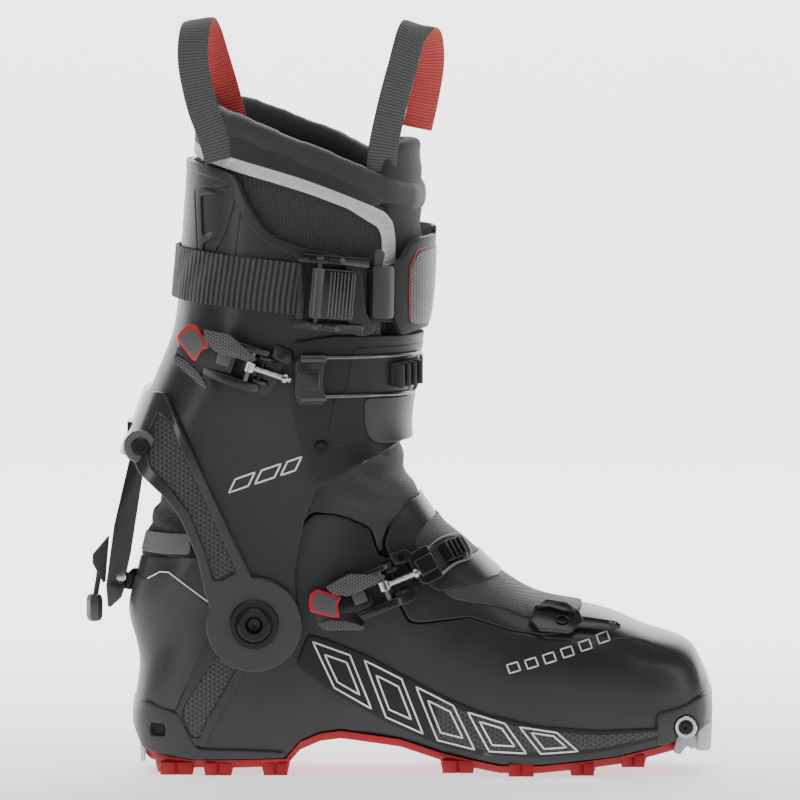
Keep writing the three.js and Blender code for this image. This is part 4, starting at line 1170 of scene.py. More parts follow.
# room for the walk lever between the cuff's rear corners
LEVER_NOTCH = Region(lambda p: np.minimum(np.minimum(-28 - p[:, 0], 181 - p[:, 2]), 13 - np.abs(p[:, 1])))


def leg_point(z: float, degrees: float, t: float) -> Vector:
    """A point on the leg's lateral surface.

    Args:
        z: its height.
        degrees: its angle from the front.
        t: how far outside the wall it lies.

    Returns:
        The point.
    """
    middle = (LEG.rows[:, 1] + LEG.rows[:, 3]) / 2
    xl, xh, half, square = (np.interp(z, middle, LEG.rows[:, k]) for k in (0, 2, 4, 5))
    a = math.radians(degrees)

    def bow(v: float) -> float:
        """A cosine or sine bent to the section's squareness."""
        return math.copysign(abs(v) ** (2 / square), v)

    deep = (xh - xl) / 2 + t
    return Vector(((xl + xh) / 2 + deep * bow(math.cos(a)), -(half + t) * bow(math.sin(a)), z))


def printed(form: Form, lines: Sequence[Outline], t: float, wide: float = 0.9, closed: bool = True) -> list[tuple]:
    """Thin printed lines lying on the lateral side.

    Args:
        form: the form they lie on.
        lines: their corners in X and Z.
        t: height over the form.
        wide: the line's width.
        closed: whether each line closes on itself.

    Returns:
        Mesh parts.
    """
    parts = []
    for line in lines:
        corners = np.array(line, float)
        if closed:
            corners = np.vstack([corners, corners[:1]])
        dense = []
        for a, b in zip(corners, corners[1:]):
            count = max(int(np.linalg.norm(b - a) / 1.5), 1)
            dense += [a + (b - a) * s for s in np.arange(count) / count]
        if not closed:
            dense.append(corners[-1])
        line_points = np.array(dense)
        if closed:
            way = np.roll(line_points, -1, axis=0) - np.roll(line_points, 1, axis=0)
        else:
            way = np.gradient(line_points, axis=0)
        way = unit(way)
        side = np.stack([-way[:, 1], way[:, 0]], axis=1) * wide / 2
        points = []
        for p, s in zip(line_points, side):
            for q in (p + s, p - s):
                place, normal = form.touch(q[0], q[1], Side.LATERAL, t)
                points.append((place + normal * INK)[:])
        count = len(line_points)
        span = count if closed else count - 1
        faces = [(2 * i, 2 * i + 1, 2 * ((i + 1) % count) + 1, 2 * ((i + 1) % count)) for i in range(span)]
        normal_y = np.cross(np.array(points[1]) - points[0], np.array(points[2]) - points[0])[1]
        parts.append((np.array(points), faces if normal_y < 0 else [f[::-1] for f in faces], None, 0))
    return parts


# ---------------- lower shell
@dataclass
class LowerShell:
    """The stiff foot shell, its flap, rails, welts and fittings."""

    wall: float = 3.6
    welt: float = 1.8
    flap_proud: float = 0.9
    rail_proud: float = 2.2
    toe_proud: float = 2.4
    cap_proud: float = 0.55
    cup_proud: float = 0.7
    hinge_room: float = 27.0
    socket: tuple[float, float] = (240.6, 25.1)
    outline: Outline = field(default_factory=lambda: [
        *SOLE_LINE, (262, 24), (262, 60), (252, 78), (222, 90), (196, 98), (172, 100), (168, 92.5), (168, 73),
        (150, 76), (129.5, 82.4), (104, 79),
        (98, 80), (93.7, 88), (88, 112), (82.4, 114.7), (78, 127.5), (68, 132.6), (60, 135), (50, 135.7),
        (45, 131.6), (41, 124), (0, 113.5), (-39.6, 112.4), (-44, 106), (-47, 98.3), (-48, 90.6), (-48, 83),
        (-46, 72.7), (-42, 57.3), (-39, 41), (-42, 39.4), (-42, 33.3), (-40, 19),
    ])

    def build(self) -> None:
        """Builds every piece of the lower shell."""
        self.shell()
        self.flap()
        self.rails()
        self.fittings()
        self.catch()
        self.graphics()

    def shell(self) -> None:
        """The main shell with its heel guard, textured band and toe welt."""
        body = FOOT.panel(0, self.wall, Region.outline(self.outline, 1.2), 0.8)
        heel_slot = Region.outline([(-35, 20.4), (-27, 20.2), (-27, 26.4), (-35, 27)], 0.4)
        guard = Region.outline([(-60, 39), (-36, 38.6), (-31, 35.4), (-20, 32), (-13.2, 16.8), (-9.6, 13.6),
                                (16, 13.2), (36, 11.8), (36, 3), (-60, 8)], 2)
        sole_edge = Region.outline([*SOLE_LINE, (260, 60), (-60, 60)], 1)
        guard_part = FOOT.panel(self.welt, self.welt + 0.6, (guard & sole_edge) - heel_slot, 0.7)
        frame_out = Region.outline([(-4, 76), (9, 71), (16, 61.5), (14.6, 55), (-2.5, 24), (-6, 15), (-13, 15),
                                    (-22.5, 31), (-20, 37)], 2.5)
        band = Region.outline([(1.8, 66.5), (5.4, 67), (10.8, 60.4), (9.8, 56), (-6.5, 27), (-9.5, 19),
                               (-12.4, 18.6), (-18.8, 31), (-16.4, 38)], 2)
        frame_part = FOOT.panel(1.1, 1.4, (frame_out - band) & Region.side(Side.LATERAL), 0.5)
        band_part = FOOT.panel(0.35, 0.6, band & Region.side(Side.LATERAL), 0.2)
        toe = Region.outline([(226, 27), (226, 32.6), (236, 34.6), (243, 37), (249.4, 41.4), (264, 42.4), (264, 10),
                              (226, 10)], 1.6)
        socket = Region.disc(*self.socket, 6.3) | Region.outline([(235.2, 25), (236.6, 12), (244.6, 12), (246, 25)],
                                                                 0.5)
        toe_part = FOOT.panel(self.toe_proud, 3, (toe & sole_edge) - socket, 0.9)
        crease = Region.outline([(140, 84), (158, 72.6), (184, 71), (214, 71), (238, 62), (247, 50), (264, 56),
                                 (264, 120), (140, 120)], 6)
        cap_region = Region.outline(self.outline, 1.2) & crease
        cap_part = FOOT.panel(self.cap_proud, 0.9, cap_region, 0.5)
        cup = Region.outline([(-60, 101), (-35, 101), (-29.6, 104.4), (-25, 104.4), (-4, 89), (0.4, 74), (-19, 41),
                              (-21, 34), (-60, 36)], 2)
        cup_part = FOOT.panel(self.cup_proud, 1, cup, 0.5)
        parts = [body, guard_part, frame_part, toe_part, cap_part]
        piece("shell_skin", parts + [(*band_part, 1), (*cup_part, 2)], Body.SHELL,
              [SHELL_BLACK, GRIP_RUBBER, HEEL_GREY], ["lower_shell"])
        edge_line = [(-36, 101), (-29.6, 104.9), (-25, 104.9), (-3.6, 89.4)]
        piece("heel_line", printed(FOOT, [edge_line], self.cup_proud, 0.7, closed=False), Body.SHELL, [PRINT_WHITE])
        slot_part = FOOT.panel(0.3, 0.4, heel_slot & Region.side(Side.LATERAL), 0.05)
        piece("heel_slot_floor", [slot_part], Body.SHELL, [SHADOW_BLACK])

    def flap(self) -> None:
        """The flap over the instep, with its stiffening seam lines."""
        outline = [(167.6, 73.5), (150.2, 76.6), (129.5, 83), (104.2, 79.7), (98.6, 80.7), (94.4, 88.4),
                   (89, 111.8), (86, 121), (90, 131), (99, 141), (140, 160), (190, 120), (190, 90), (176, 74)]
        body = FOOT.panel(self.flap_proud, 2.8, Region.outline(outline, 2), 0.6)
        over = [(172, 84), (160, 82), (146, 88), (132, 90), (120, 92), (112, 100), (104, 112), (101, 121),
                (108, 131), (150, 150), (200, 110), (186, 84)]
        second = FOOT.panel(self.flap_proud + 1.1, 1.4, Region.outline(over, 3), 0.6)
        wrap = [(107, 100), (112, 104.6), (122, 110), (140, 116), (150, 116), (146, 103), (136, 101), (122, 98.4),
                (114, 95.6)]
        strap = FOOT.panel(self.flap_proud + 2.2, 1.3, Region.outline(wrap, 2), 0.5)
        skin("instep_flap", [body, (*second, 1), strap], Body.SHELL, SHELL_BLACK, GAITER_CLOTH)

    def rails(self) -> None:
        """The rails along both sides, smooth at the ankle and textured towards the toe."""
        rail = [(40, 57.5), (58, 44.5), (88.6, 26.6), (114, 15.5), (134.7, 11), (165, 10), (196, 12.5), (231, 19.5),
                (231, 25.2), (196, 24.5), (165, 27), (134.7, 34), (114, 43), (96, 52.5), (78, 62.5), (56, 71.5),
                (46.4, 74)]
        grip = [(112, 20), (134.7, 14.4), (165, 13.2), (196, 15.4), (228, 21.6), (228, 24), (196, 22.6), (165, 25),
                (134.7, 31.6), (112, 41)]
        for side in Side:
            region = (Region.outline(rail, 2) - Region.disc(PIVOT[0], PIVOT[2], self.hinge_room)) & Region.side(side)
            whole = FOOT.panel(self.rail_proud - 0.5, 1.8, region, 0.7)
            inlay = FOOT.panel(self.rail_proud - 0.2, 0.5, Region.outline(grip, 2) & Region.side(side), 0.2)
            name = side.name.lower()
            piece(f"rail_{name}_skin", [whole, (*inlay, 1)], Body.SHELL, [SMOOTH_RUBBER, GRIP_RUBBER],
                  [f"side_rail_{name}"])

    def fittings(self) -> None:
        """Toe and heel inserts with their grey surrounds."""
        for side in Side:
            name = side.name.lower()
            x, z = self.socket
            face = FOOT.touch(x, z, side, self.toe_proud)[0].y - side.value * 0.6
            out = axes_along(Vector((0, side.value, 0)), Vector((x, face, z)))
            ring = [(-3.2, 0), (-3.2, 5.8), (1.6, 5.8), (2.1, 5.4), (2.1, 4), (1.4, 3.5), (-1.6, 2.4), (-2, 0)]
            piece(f"toe_socket_{name}", [lathe(ring, out, 0, 40)], Body.SHELL, [STEEL], [f"toe_insert_{name}"])
            dark = [(-2.2, 0), (-2.2, 2.9), (-0.4, 3.1), (-0.2, 2.6), (-0.9, 0)]
            piece(f"toe_pocket_{name}", [lathe(dark, out, 0, 24)], Body.SHELL, [DARK_STEEL])
            turn = axes(Vector((1, 0, 0)), Vector((0, 0, 1)) * -side.value, Vector((0, side.value, 0)),
                        Vector((x, face - side.value * 0.8, z)))
            flip = -side.value
            skirt = [(-4.6, -5), (-6.2, -13), (-2.8, -14.4), (0.4, -9.6), (3.4, -11.6), (5.6, -9.4), (4.6, -4)]
            skirt = [(along, down * flip) for along, down in skirt]
            piece(f"toe_rubber_{name}", [block(skirt if flip > 0 else skirt[::-1], -2.2, 0.9, turn, 0.4, 0, 0.8)],
                  Body.SHELL, [TOE_GREY])
        nose = Region.outline([(246.4, 12), (247.2, 22.5), (251, 25.4), (262, 26), (262, 8)], 1)
        piece("toe_nose_rubber", [FOOT.panel(2.9, 3.2, nose, 0.6)], Body.SHELL, [TOE_GREY])
        refined("heel_insert", Body.SHELL, STEEL, 0.3)

    def catch(self) -> None:
        """The forefoot catch with its arm and rivets."""
        turn = FOOT.seat(173.5, 79.5, -6, 2.2)
        plate_outline = [(-13.5, -6), (-8, -12), (8, -11), (14, -1), (12, 6), (6, 11), (-4, 11.5), (-12, 6)]
        arm = [(8, -6), (31, -3.4), (34, -0.4), (31, 2.4), (9, 3)]
        raised = [(-11, 3), (-6, 9.6), (5, 9), (9.6, 3.4), (3, 2.2), (-3, 4)]
        parts = [block(plate_outline, 0, 2.4, turn, 0.6, 0, 1.6), block(arm, 0.2, 2, turn, 0.5, 0, 1.2),
                 block(raised, 2.2, 4.4, turn, 0.6, 0, 1.2),
                 bar(turn, (29, -0.6, 1.8), (29, -0.6, 2.8), 1.7)]
        skin("forefoot_catch", parts, Body.SHELL, BUCKLE_BLACK)
        ring = [(0, 1.2), (0, 3.4), (1, 3.4), (1.2, 3), (1.2, 2.2), (0.3, 2), (0.3, 0)]
        skin("forefoot_rivet", [lathe(ring, turn @ Matrix.Translation((3, -3.5, 2.2)))], Body.SHELL, DARK_STEEL)

    def graphics(self) -> None:
        """Printed outlines along the side: a plain row of slanted bars and peaks."""
        upper = [(46, 71), (78, 59.5), (96, 50), (114, 40.5), (134.7, 31.4), (165, 24.6), (196, 22.4)]
        lower = [(40, 60.5), (58, 47.5), (88.6, 29.6), (114, 18.5), (134.7, 13.8), (165, 12.6), (196, 14.8)]
        shapes = []
        for k in range(5):
            x0 = 53 + 26.5 * k
            outer = []
            for line, shift in ((upper, -4), (lower, 7)):
                pair = [(x0 + shift + w, float(np.interp(x0 + shift + w, *zip(*line)))) for w in (0, 19)]
                outer += pair if shift < 0 else pair[::-1]
            middle = np.mean(outer, axis=0)
            shapes += [outer, [tuple(middle + (np.array(c) - middle) * 0.6) for c in outer]]
        piece("side_print", printed(FOOT, shapes, self.rail_proud - 0.1), Body.SHELL, [PRINT_WHITE])
        bars = []
        for k in range(6):
            x = 150 + 9.2 * k
            z = 54.4 + 2.1 * k + 0.16 * k * k
            bars.append([(x, z), (x + 5.4, z + 1.6), (x + 3.8, z + 5.8), (x - 1.6, z + 4.2)])
        piece("toe_print", printed(FOOT, bars, 0.6, 0.8), Body.SHELL, [PRINT_WHITE])


@dataclass
class Sole:
    """The red lugged outsole."""

    edge: float = 0.5
    lug_high: float = 6.5
    lugs: Sequence[tuple[float, float, float, float]] = (
        (-29.6, -12.9, 0, 32.4), (-6.6, 7.1, 0, 35.8), (23.6, 35.8, 0, 35.3), (115.5, 131.4, 1.5, 38.2),
        (149.6, 162.4, 0, 41.3), (181.5, 193.4, 0.5, 41.3), (207.6, 219.4, 4.6, 38.8),
    )

    def build(self) -> None:
        """Rounds and dresses the outsole and squares off its edge lugs."""
        refined("outsole", Body.SHELL, SOLE_RED, self.edge)
        parts = []
        for x0, x1, z, half in self.lugs:
            notch = (x0 + x1) / 2
            for side in Side:
                near, far = sorted((side.value * (half - 12), side.value * half))
                cut = far - 1.2 if side is Side.MEDIAL else near + 1.2
                if side is Side.LATERAL:
                    edge = [(x0, near), (notch - 1, near), (notch, cut), (notch + 1, near), (x1, near), (x1, far),
                            (x0, far)]
                else:
                    edge = [(x0, near), (x1, near), (x1, far), (notch + 1, far), (notch, cut), (notch - 1, far),
                            (x0, far)]
                parts.append(block(edge, z + 0.05, z + self.lug_high, Matrix.Identity(4), 0.4, 0, 0.4))
        piece("edge_lugs", parts, Body.SHELL, [SOLE_RED])


# ---------------- cuff
@dataclass
class Cuff:
    """The hinged cuff with its struts, flap and panel."""

    wall: float = 3.2
    strut_rise: float = 3.4
    gap: float = 0.35
    flap_wall: float = 2.3

    def build(self) -> None:
        """Builds every piece of the cuff."""
        self.shell()
        self.struts()
        self.bolts()
        self.front_flap()

    def shell(self) -> None:
        """The cuff's wall, with a triangular truss at the rear top."""
        front_low = [(41, 92), (40, 106), (42.5, 121), (45, 134), (50.2, 147), (53.8, 151), (75.8, 162.3), (84, 166.5)]
        outline = [(-100, 166), *STRUT_REAR, (19, 62), (38, 70), *front_low, *CUFF_TOP, (-100, 315.4)]
        ear = Region.disc(PIVOT[0], PIVOT[2], EAR)
        region = (Region.outline(outline, 1) | ear) - LEVER_NOTCH
        parts = [LEG.panel(0, self.wall, region, 0.8)]
        window = Region.outline([(-9, 254), (-11.6, 302), (8.4, 304), (9, 296), (4.5, 281)], 2)
        holes = (Region.outline([(-7.6, 278), (-8.4, 299), (4.6, 300.6), (1.6, 284)], 1)
                 | Region.outline([(-6.6, 258), (-7.4, 274), (0.6, 279)], 1))
        rim_edge = Region.outline([(-60, 320), (-60, 240), (13, 250), (9.6, 270), (11.6, 286), (13.4, 296),
                                   (9.8, 303.6), (5.8, 307.6), (-1, 309.8), (-12, 312.6)], 2)
        for side in Side:
            half = Region.side(side)
            parts.append(LEG.panel(0.9, 1.2, (window - holes) & half, 0.4))
            parts.append(LEG.panel(0.45, 0.8, (rim_edge - window) & half, 0.4))
        top = Region(lambda p: 2.6 - np.abs(inside_distance(np.array([(-60, 320), (-60, 240), (84, 200),
                                                                      *CUFF_TOP]), p[:, 0], p[:, 2]) - 2.6))
        lip = top & Region(lambda p: p[:, 2] - 262) & Region(lambda p: 83 - p[:, 0])
        parts.append(LEG.panel(0.7, 1, lip, 0.45))
        piece("cuff_skin", parts, Body.CUFF, [CUFF_BLACK], ["cuff_shell"])
        badge = [[(6, 147), (16, 150.6), (19.4, 157.6), (9.4, 154)],
                 [(19.4, 151.6), (29.4, 155), (32.8, 162), (22.8, 158.6)],
                 [(32.6, 156), (40, 158.6), (43.4, 165.6), (36, 163)]]
        piece("cuff_print", printed(LEG, badge, 0.0, 0.9), Body.CUFF, [PRINT_WHITE])

    def struts(self) -> None:
        """The struts from the walk lever to the hinge, with textured inlays."""
        outline = [(-100, 199), (-100, 166), *STRUT_REAR, (19, 62), (36, 70), (38.4, 90.6), (32.3, 92), (19.5, 101),
                   (9.2, 121.3), (-8.7, 159.7), (-27.6, 198)]
        inlay = [(-31, 189), (-24, 184), (-12.4, 158.2), (5, 120.2), (11, 106.5), (2, 101.5), (-2.6, 101),
                 (-6.4, 115), (-15, 136.6), (-23.4, 147.6), (-35, 159.6), (-37.5, 168), (-36, 178)]
        well = Region(lambda p: Region.outline(inlay, 2).distance(p) - 0.9)
        whole = Region.outline(outline, 2) | Region.disc(PIVOT[0], PIVOT[2], EAR)
        for side in Side:
            half = Region.side(side)
            ridge = LEG_FINE.panel(self.strut_rise, self.strut_rise - self.gap, (whole - well - LEVER_NOTCH) & half,
                                   0.6)
            floor = LEG_FINE.panel(self.strut_rise - 1, 1.2, (well - LEVER_NOTCH) & half, 0.1)
            name = side.name.lower()
            skin(f"strut_{name}", [ridge], Body.CUFF, STRUT_GLOSS)
            piece(f"strut_grip_{name}", [floor], Body.CUFF, [GRIP_RUBBER], [f"strut_inlay_{name}"])

    def bolts(self) -> None:
        """The hinge bolts: a washer, a stepped head and a socket."""
        for side in Side:
            name = side.name.lower()
            low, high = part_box(f"pivot_bolt_{name}")
            inner = (high.y if side is Side.LATERAL else low.y) / MM
            outer = (low.y if side is Side.LATERAL else high.y) / MM
            turn = axes_along(Vector((0, side.value, 0)), Vector((PIVOT[0], inner, PIVOT[2])))
            long = abs(outer - inner)
            seat = long - 3.4
            profile = [(0, 0), (0, 5), (seat, 5), (seat, 12.4), (seat + 0.5, 12.8), (seat + 1.5, 12.8),
                       (seat + 2, 12.3), (seat + 2, 9.6), (seat + 1.3, 9.1), (seat + 1.3, 8.5), (seat + 2.9, 8.3),
                       (long, 7.7), (long, 4.6), (long - 0.5, 4.2), (long - 2.4, 3), (long - 2.6, 0)]
            skin(f"pivot_bolt_{name}", [lathe(profile, turn, 0, 48)], Body.SHELL, DARK_STEEL)

        for side in Side:
            place, _ = LEG.touch(WALK_PIVOT[0] + 1, WALK_PIVOT[2], side, self.strut_rise)
            turn = axes_along(Vector((0, side.value, 0)), Vector((WALK_PIVOT[0], place.y, WALK_PIVOT[2])))
            ear = [(-7, 0), (-7, 8.6), (1.2, 8.6), (2, 7.8), (2, 0)]
            head = [(1.8, 0), (1.8, 4.9), (3, 4.7), (3.4, 4.2), (3.4, 2.2), (2.4, 1.9), (2.4, 0)]
            piece(f"lever_bolt_{side.name.lower()}", [lathe(ear, turn, 1, 40), lathe(head, turn, 0, 32)], Body.CUFF,
                  [DARK_STEEL, STRUT_GLOSS])

    def front_flap(self) -> None:
        """The flap that closes the cuff, its grey panel and its rivet."""
        lateral = [(38.4, 197), (43.5, 172.5), (48.6, 154.8), (53.8, 151.6), (75.8, 162.6), (95.2, 172.5),
                   (140, 184), (140, 226.5), (60, 228), (39, 225)]
        medial = [(74, 163), (95.2, 172.5), (140, 184), (140, 226.5), (66, 227), (62, 200), (68, 176)]
        region = Region.outline(lateral, 2).lateral() | Region.outline(medial, 2).medial(2)
        outer = self.gap + self.flap_wall
        body = LEG.panel(outer, self.flap_wall, region, 0.7)
        fold = [(60, 196), (66, 200), (70, 222), (140, 222), (140, 190), (99, 186), (78, 176), (62, 170), (57, 176)]
        layer = LEG.panel(outer + 0.5, 0.8, Region.outline(fold, 3).lateral(), 0.4)
        skin("cuff_flap", [body, layer], Body.CUFF, FLAP_BLACK)
        panel = [(77.5, 177), (80.5, 173.2), (86, 172), (130, 176), (130, 195.6), (76, 195.6), (75.8, 184)]
        skin("front_panel", [LEG.panel(outer + 1.6, 1.3, Region.outline(panel, 2.5), 0.5)], Body.CUFF, PANEL_GREY)
        place, normal = LEG.touch(53.2, 171)
        turn = axes_along(normal, place + normal * outer)
        head = [(0, 0), (0, 3.6), (0.8, 3.5), (1.3, 3), (1.4, 2.1), (0.8, 1.9), (0.7, 0)]
        skin("flap_rivet", [lathe(head, turn)], Body.CUFF, DARK_STEEL)


@dataclass
class PowerStrap:
    """The power strap: ribbed webbing, cam buckle, keeper and front wrap."""

    web_out: float = 2.25
    rib: float = 2.9
    rib_high: float = 0.55

    def band(self, x0: float, x1: float, low: float = 245.0, high: float = 271.6) -> Outline:
        """The strap's side outline, sloping down to the front."""
        return [(x0, high - (x0 + 20) * 0.1), (x1, high - (x1 + 20) * 0.1), (x1, low - (x1 + 20) * 0.1),
                (x0, low - (x0 + 20) * 0.1)]

    def build(self) -> None:
        """Builds the strap's pieces."""
        region = Region.outline(self.band(-70, 45), 0.5).lateral(2) | Region.outline(self.band(-70, 84), 0.5).medial(2)

        def ribs(data: np.ndarray) -> np.ndarray:
            """Ribs across the webbing."""
            return self.rib_high * (np.sin(math.tau * data[:, 6] / self.rib) - 1) / 2

        web = LEG.panel(self.web_out, 1.6, region, 0.4, 1400, ribs)
        strap = skin("power_strap", [web], Body.CUFF, STRAP_WEB)
        self.cam()
        self.wrap()

    def cam(self) -> None:
        """The cam buckle: a two-bar frame, an end plate and a ribbed lever."""
        hinge = joint("cam_lever_lift")
        y = Vector(hinge["axis"]).normalized()
        _, normal = LEG.touch(46, 251)
        z = (normal - y * normal.dot(y)).normalized()
        x = y.cross(z)
        at = Vector(hinge["pos_m"]) / MM - x * 5.5 - z * 4.4
        turn = axes(x, y, z, at)
        parts = []
        for s in (-1, 1):
            long_bar = [(-5.5, 15 * s), (-5.5, 18.2 * s), (-3, 19.4 * s), (30, 19.6 * s), (31, 14.8 * s)]
            parts.append(block(long_bar if s > 0 else long_bar[::-1], 0, 3.4, turn, 0.7, 0, 1))
            cheek = [(-1, 1), (-1, 4.6), (2.6, 6.9), (8.6, 6.9), (10.8, 3.6), (30, 3), (30, 1)]
            low, high = (15.3, 17.2) if s > 0 else (-17.2, -15.3)
            parts.append(upright(cheek, low, high, turn, 0.4, 0))
            parts.append(bar(turn, (5.5, 16 * s, 4.4), (5.5, 18.6 * s, 4.4), 2.2))
            parts.append(bar(turn, (17, 17.4 * s, 2), (17, 17.4 * s, 4.2), 1.5))
        parts.append(block([(-4.4, -15), (-0.6, -15), (-0.6, 15), (-4.4, 15)], 0.1, 2.2, turn, 0.5, 0))
        parts.append(bar(turn, (5.5, -16, 4.4), (5.5, 16, 4.4), 1.2))
        end = [(66, 268), (72, 267.4), (74.4, 262), (76.6, 240), (79, 236), (81.4, 232), (79.4, 228.4), (73, 227.4),
               (68.6, 229.8), (66.6, 236)]
        end_plate = LEG.panel(self.web_out + 2.8, 1.9, Region.outline(end, 2.4) & Region.side(Side.LATERAL), 0.7)
        parts.append(end_plate)
        skin("cam_frame", parts, Body.CUFF, BUCKLE_BLACK)
        lever = [block([(1.8, -12.8), (24.4, -12.8), (24.4, 12.8), (1.8, 12.8)], 2.6, 6.6, turn, 1, 0, 2)]
        for k in range(7):
            x0 = 11.4 + 1.8 * k
            lever.append(block([(x0, -11.6), (x0 + 0.9, -11.6), (x0 + 0.9, 11.6), (x0, 11.6)], 6.2, 7.2, turn, 0.3, 0,
                               0.2))
        lever.append(bar(turn, (5.5, -12.8, 4.4), (5.5, 12.8, 4.4), 3.6))
        skin("cam_lever", lever, Body.CAM, BUCKLE_BLACK)

    def wrap(self) -> None:
        """The keeper loop and the wrap around the front, with its grip patch."""
        loop = Region.outline([(79.6, 237), (90.6, 236.6), (91, 263.4), (80, 263.8)], 1.2) & Region.side(Side.LATERAL)

        def bulge(data: np.ndarray) -> np.ndarray:
            """The keeper bowed out over the strap."""
            share = np.clip((data[:, 0] - 79.6) / 11.4, 0, 1)
            return 2.6 * np.sin(np.pi * share)

        keeper = [LEG.panel(5, 2, loop, 0.6, 500, bulge)]
        tab = Region.outline([(80.6, 262), (84.4, 262), (86.6, 270), (83.4, 272.6), (80.8, 270.6)], 1.2)
        keeper.append(LEG.panel(4.6, 1.6, tab & Region.side(Side.LATERAL), 0.5, 500))
        skin("strap_keeper", keeper, Body.CUFF, PANEL_GREY)
        lateral = [(90.6, 264.6), (95, 267), (99, 273.9), (104, 277), (140, 279), (140, 229), (104, 229.6), (94.6, 227),
                   (91, 236)]
        medial = [(87, 235), (90, 229), (140, 229), (140, 281.6), (92, 281), (87, 276)]
        region = Region.outline(lateral, 1.6).lateral(1) | Region.outline(medial, 2).medial(2)
        patch = Region.outline([(99.4, 262), (103.6, 270), (140, 272), (140, 233), (104, 232.4), (98.8, 233.4)], 1.5)
        parts = [LEG.panel(4.2, 2.6, region, 0.7), (*LEG.panel(4.7, 0.8, patch & region, 0.3), 1)]
        tail = Region.outline(self.band(78, 95), 0.5) & Region.side(Side.LATERAL)
        parts.append(LEG.panel(self.web_out, 1.6, tail, 0.4, 700))
        skin("front_wrap", parts, Body.CUFF, SMOOTH_RUBBER, WING_GRIP)
        line = [(98.6, 236), (98.6, 251), (99, 262.6), (103, 270.8), (107.6, 272)]
        piece("wrap_line", printed(LEG, [line], 4.4, 0.5, closed=False), Body.CUFF, [PAD_RED])


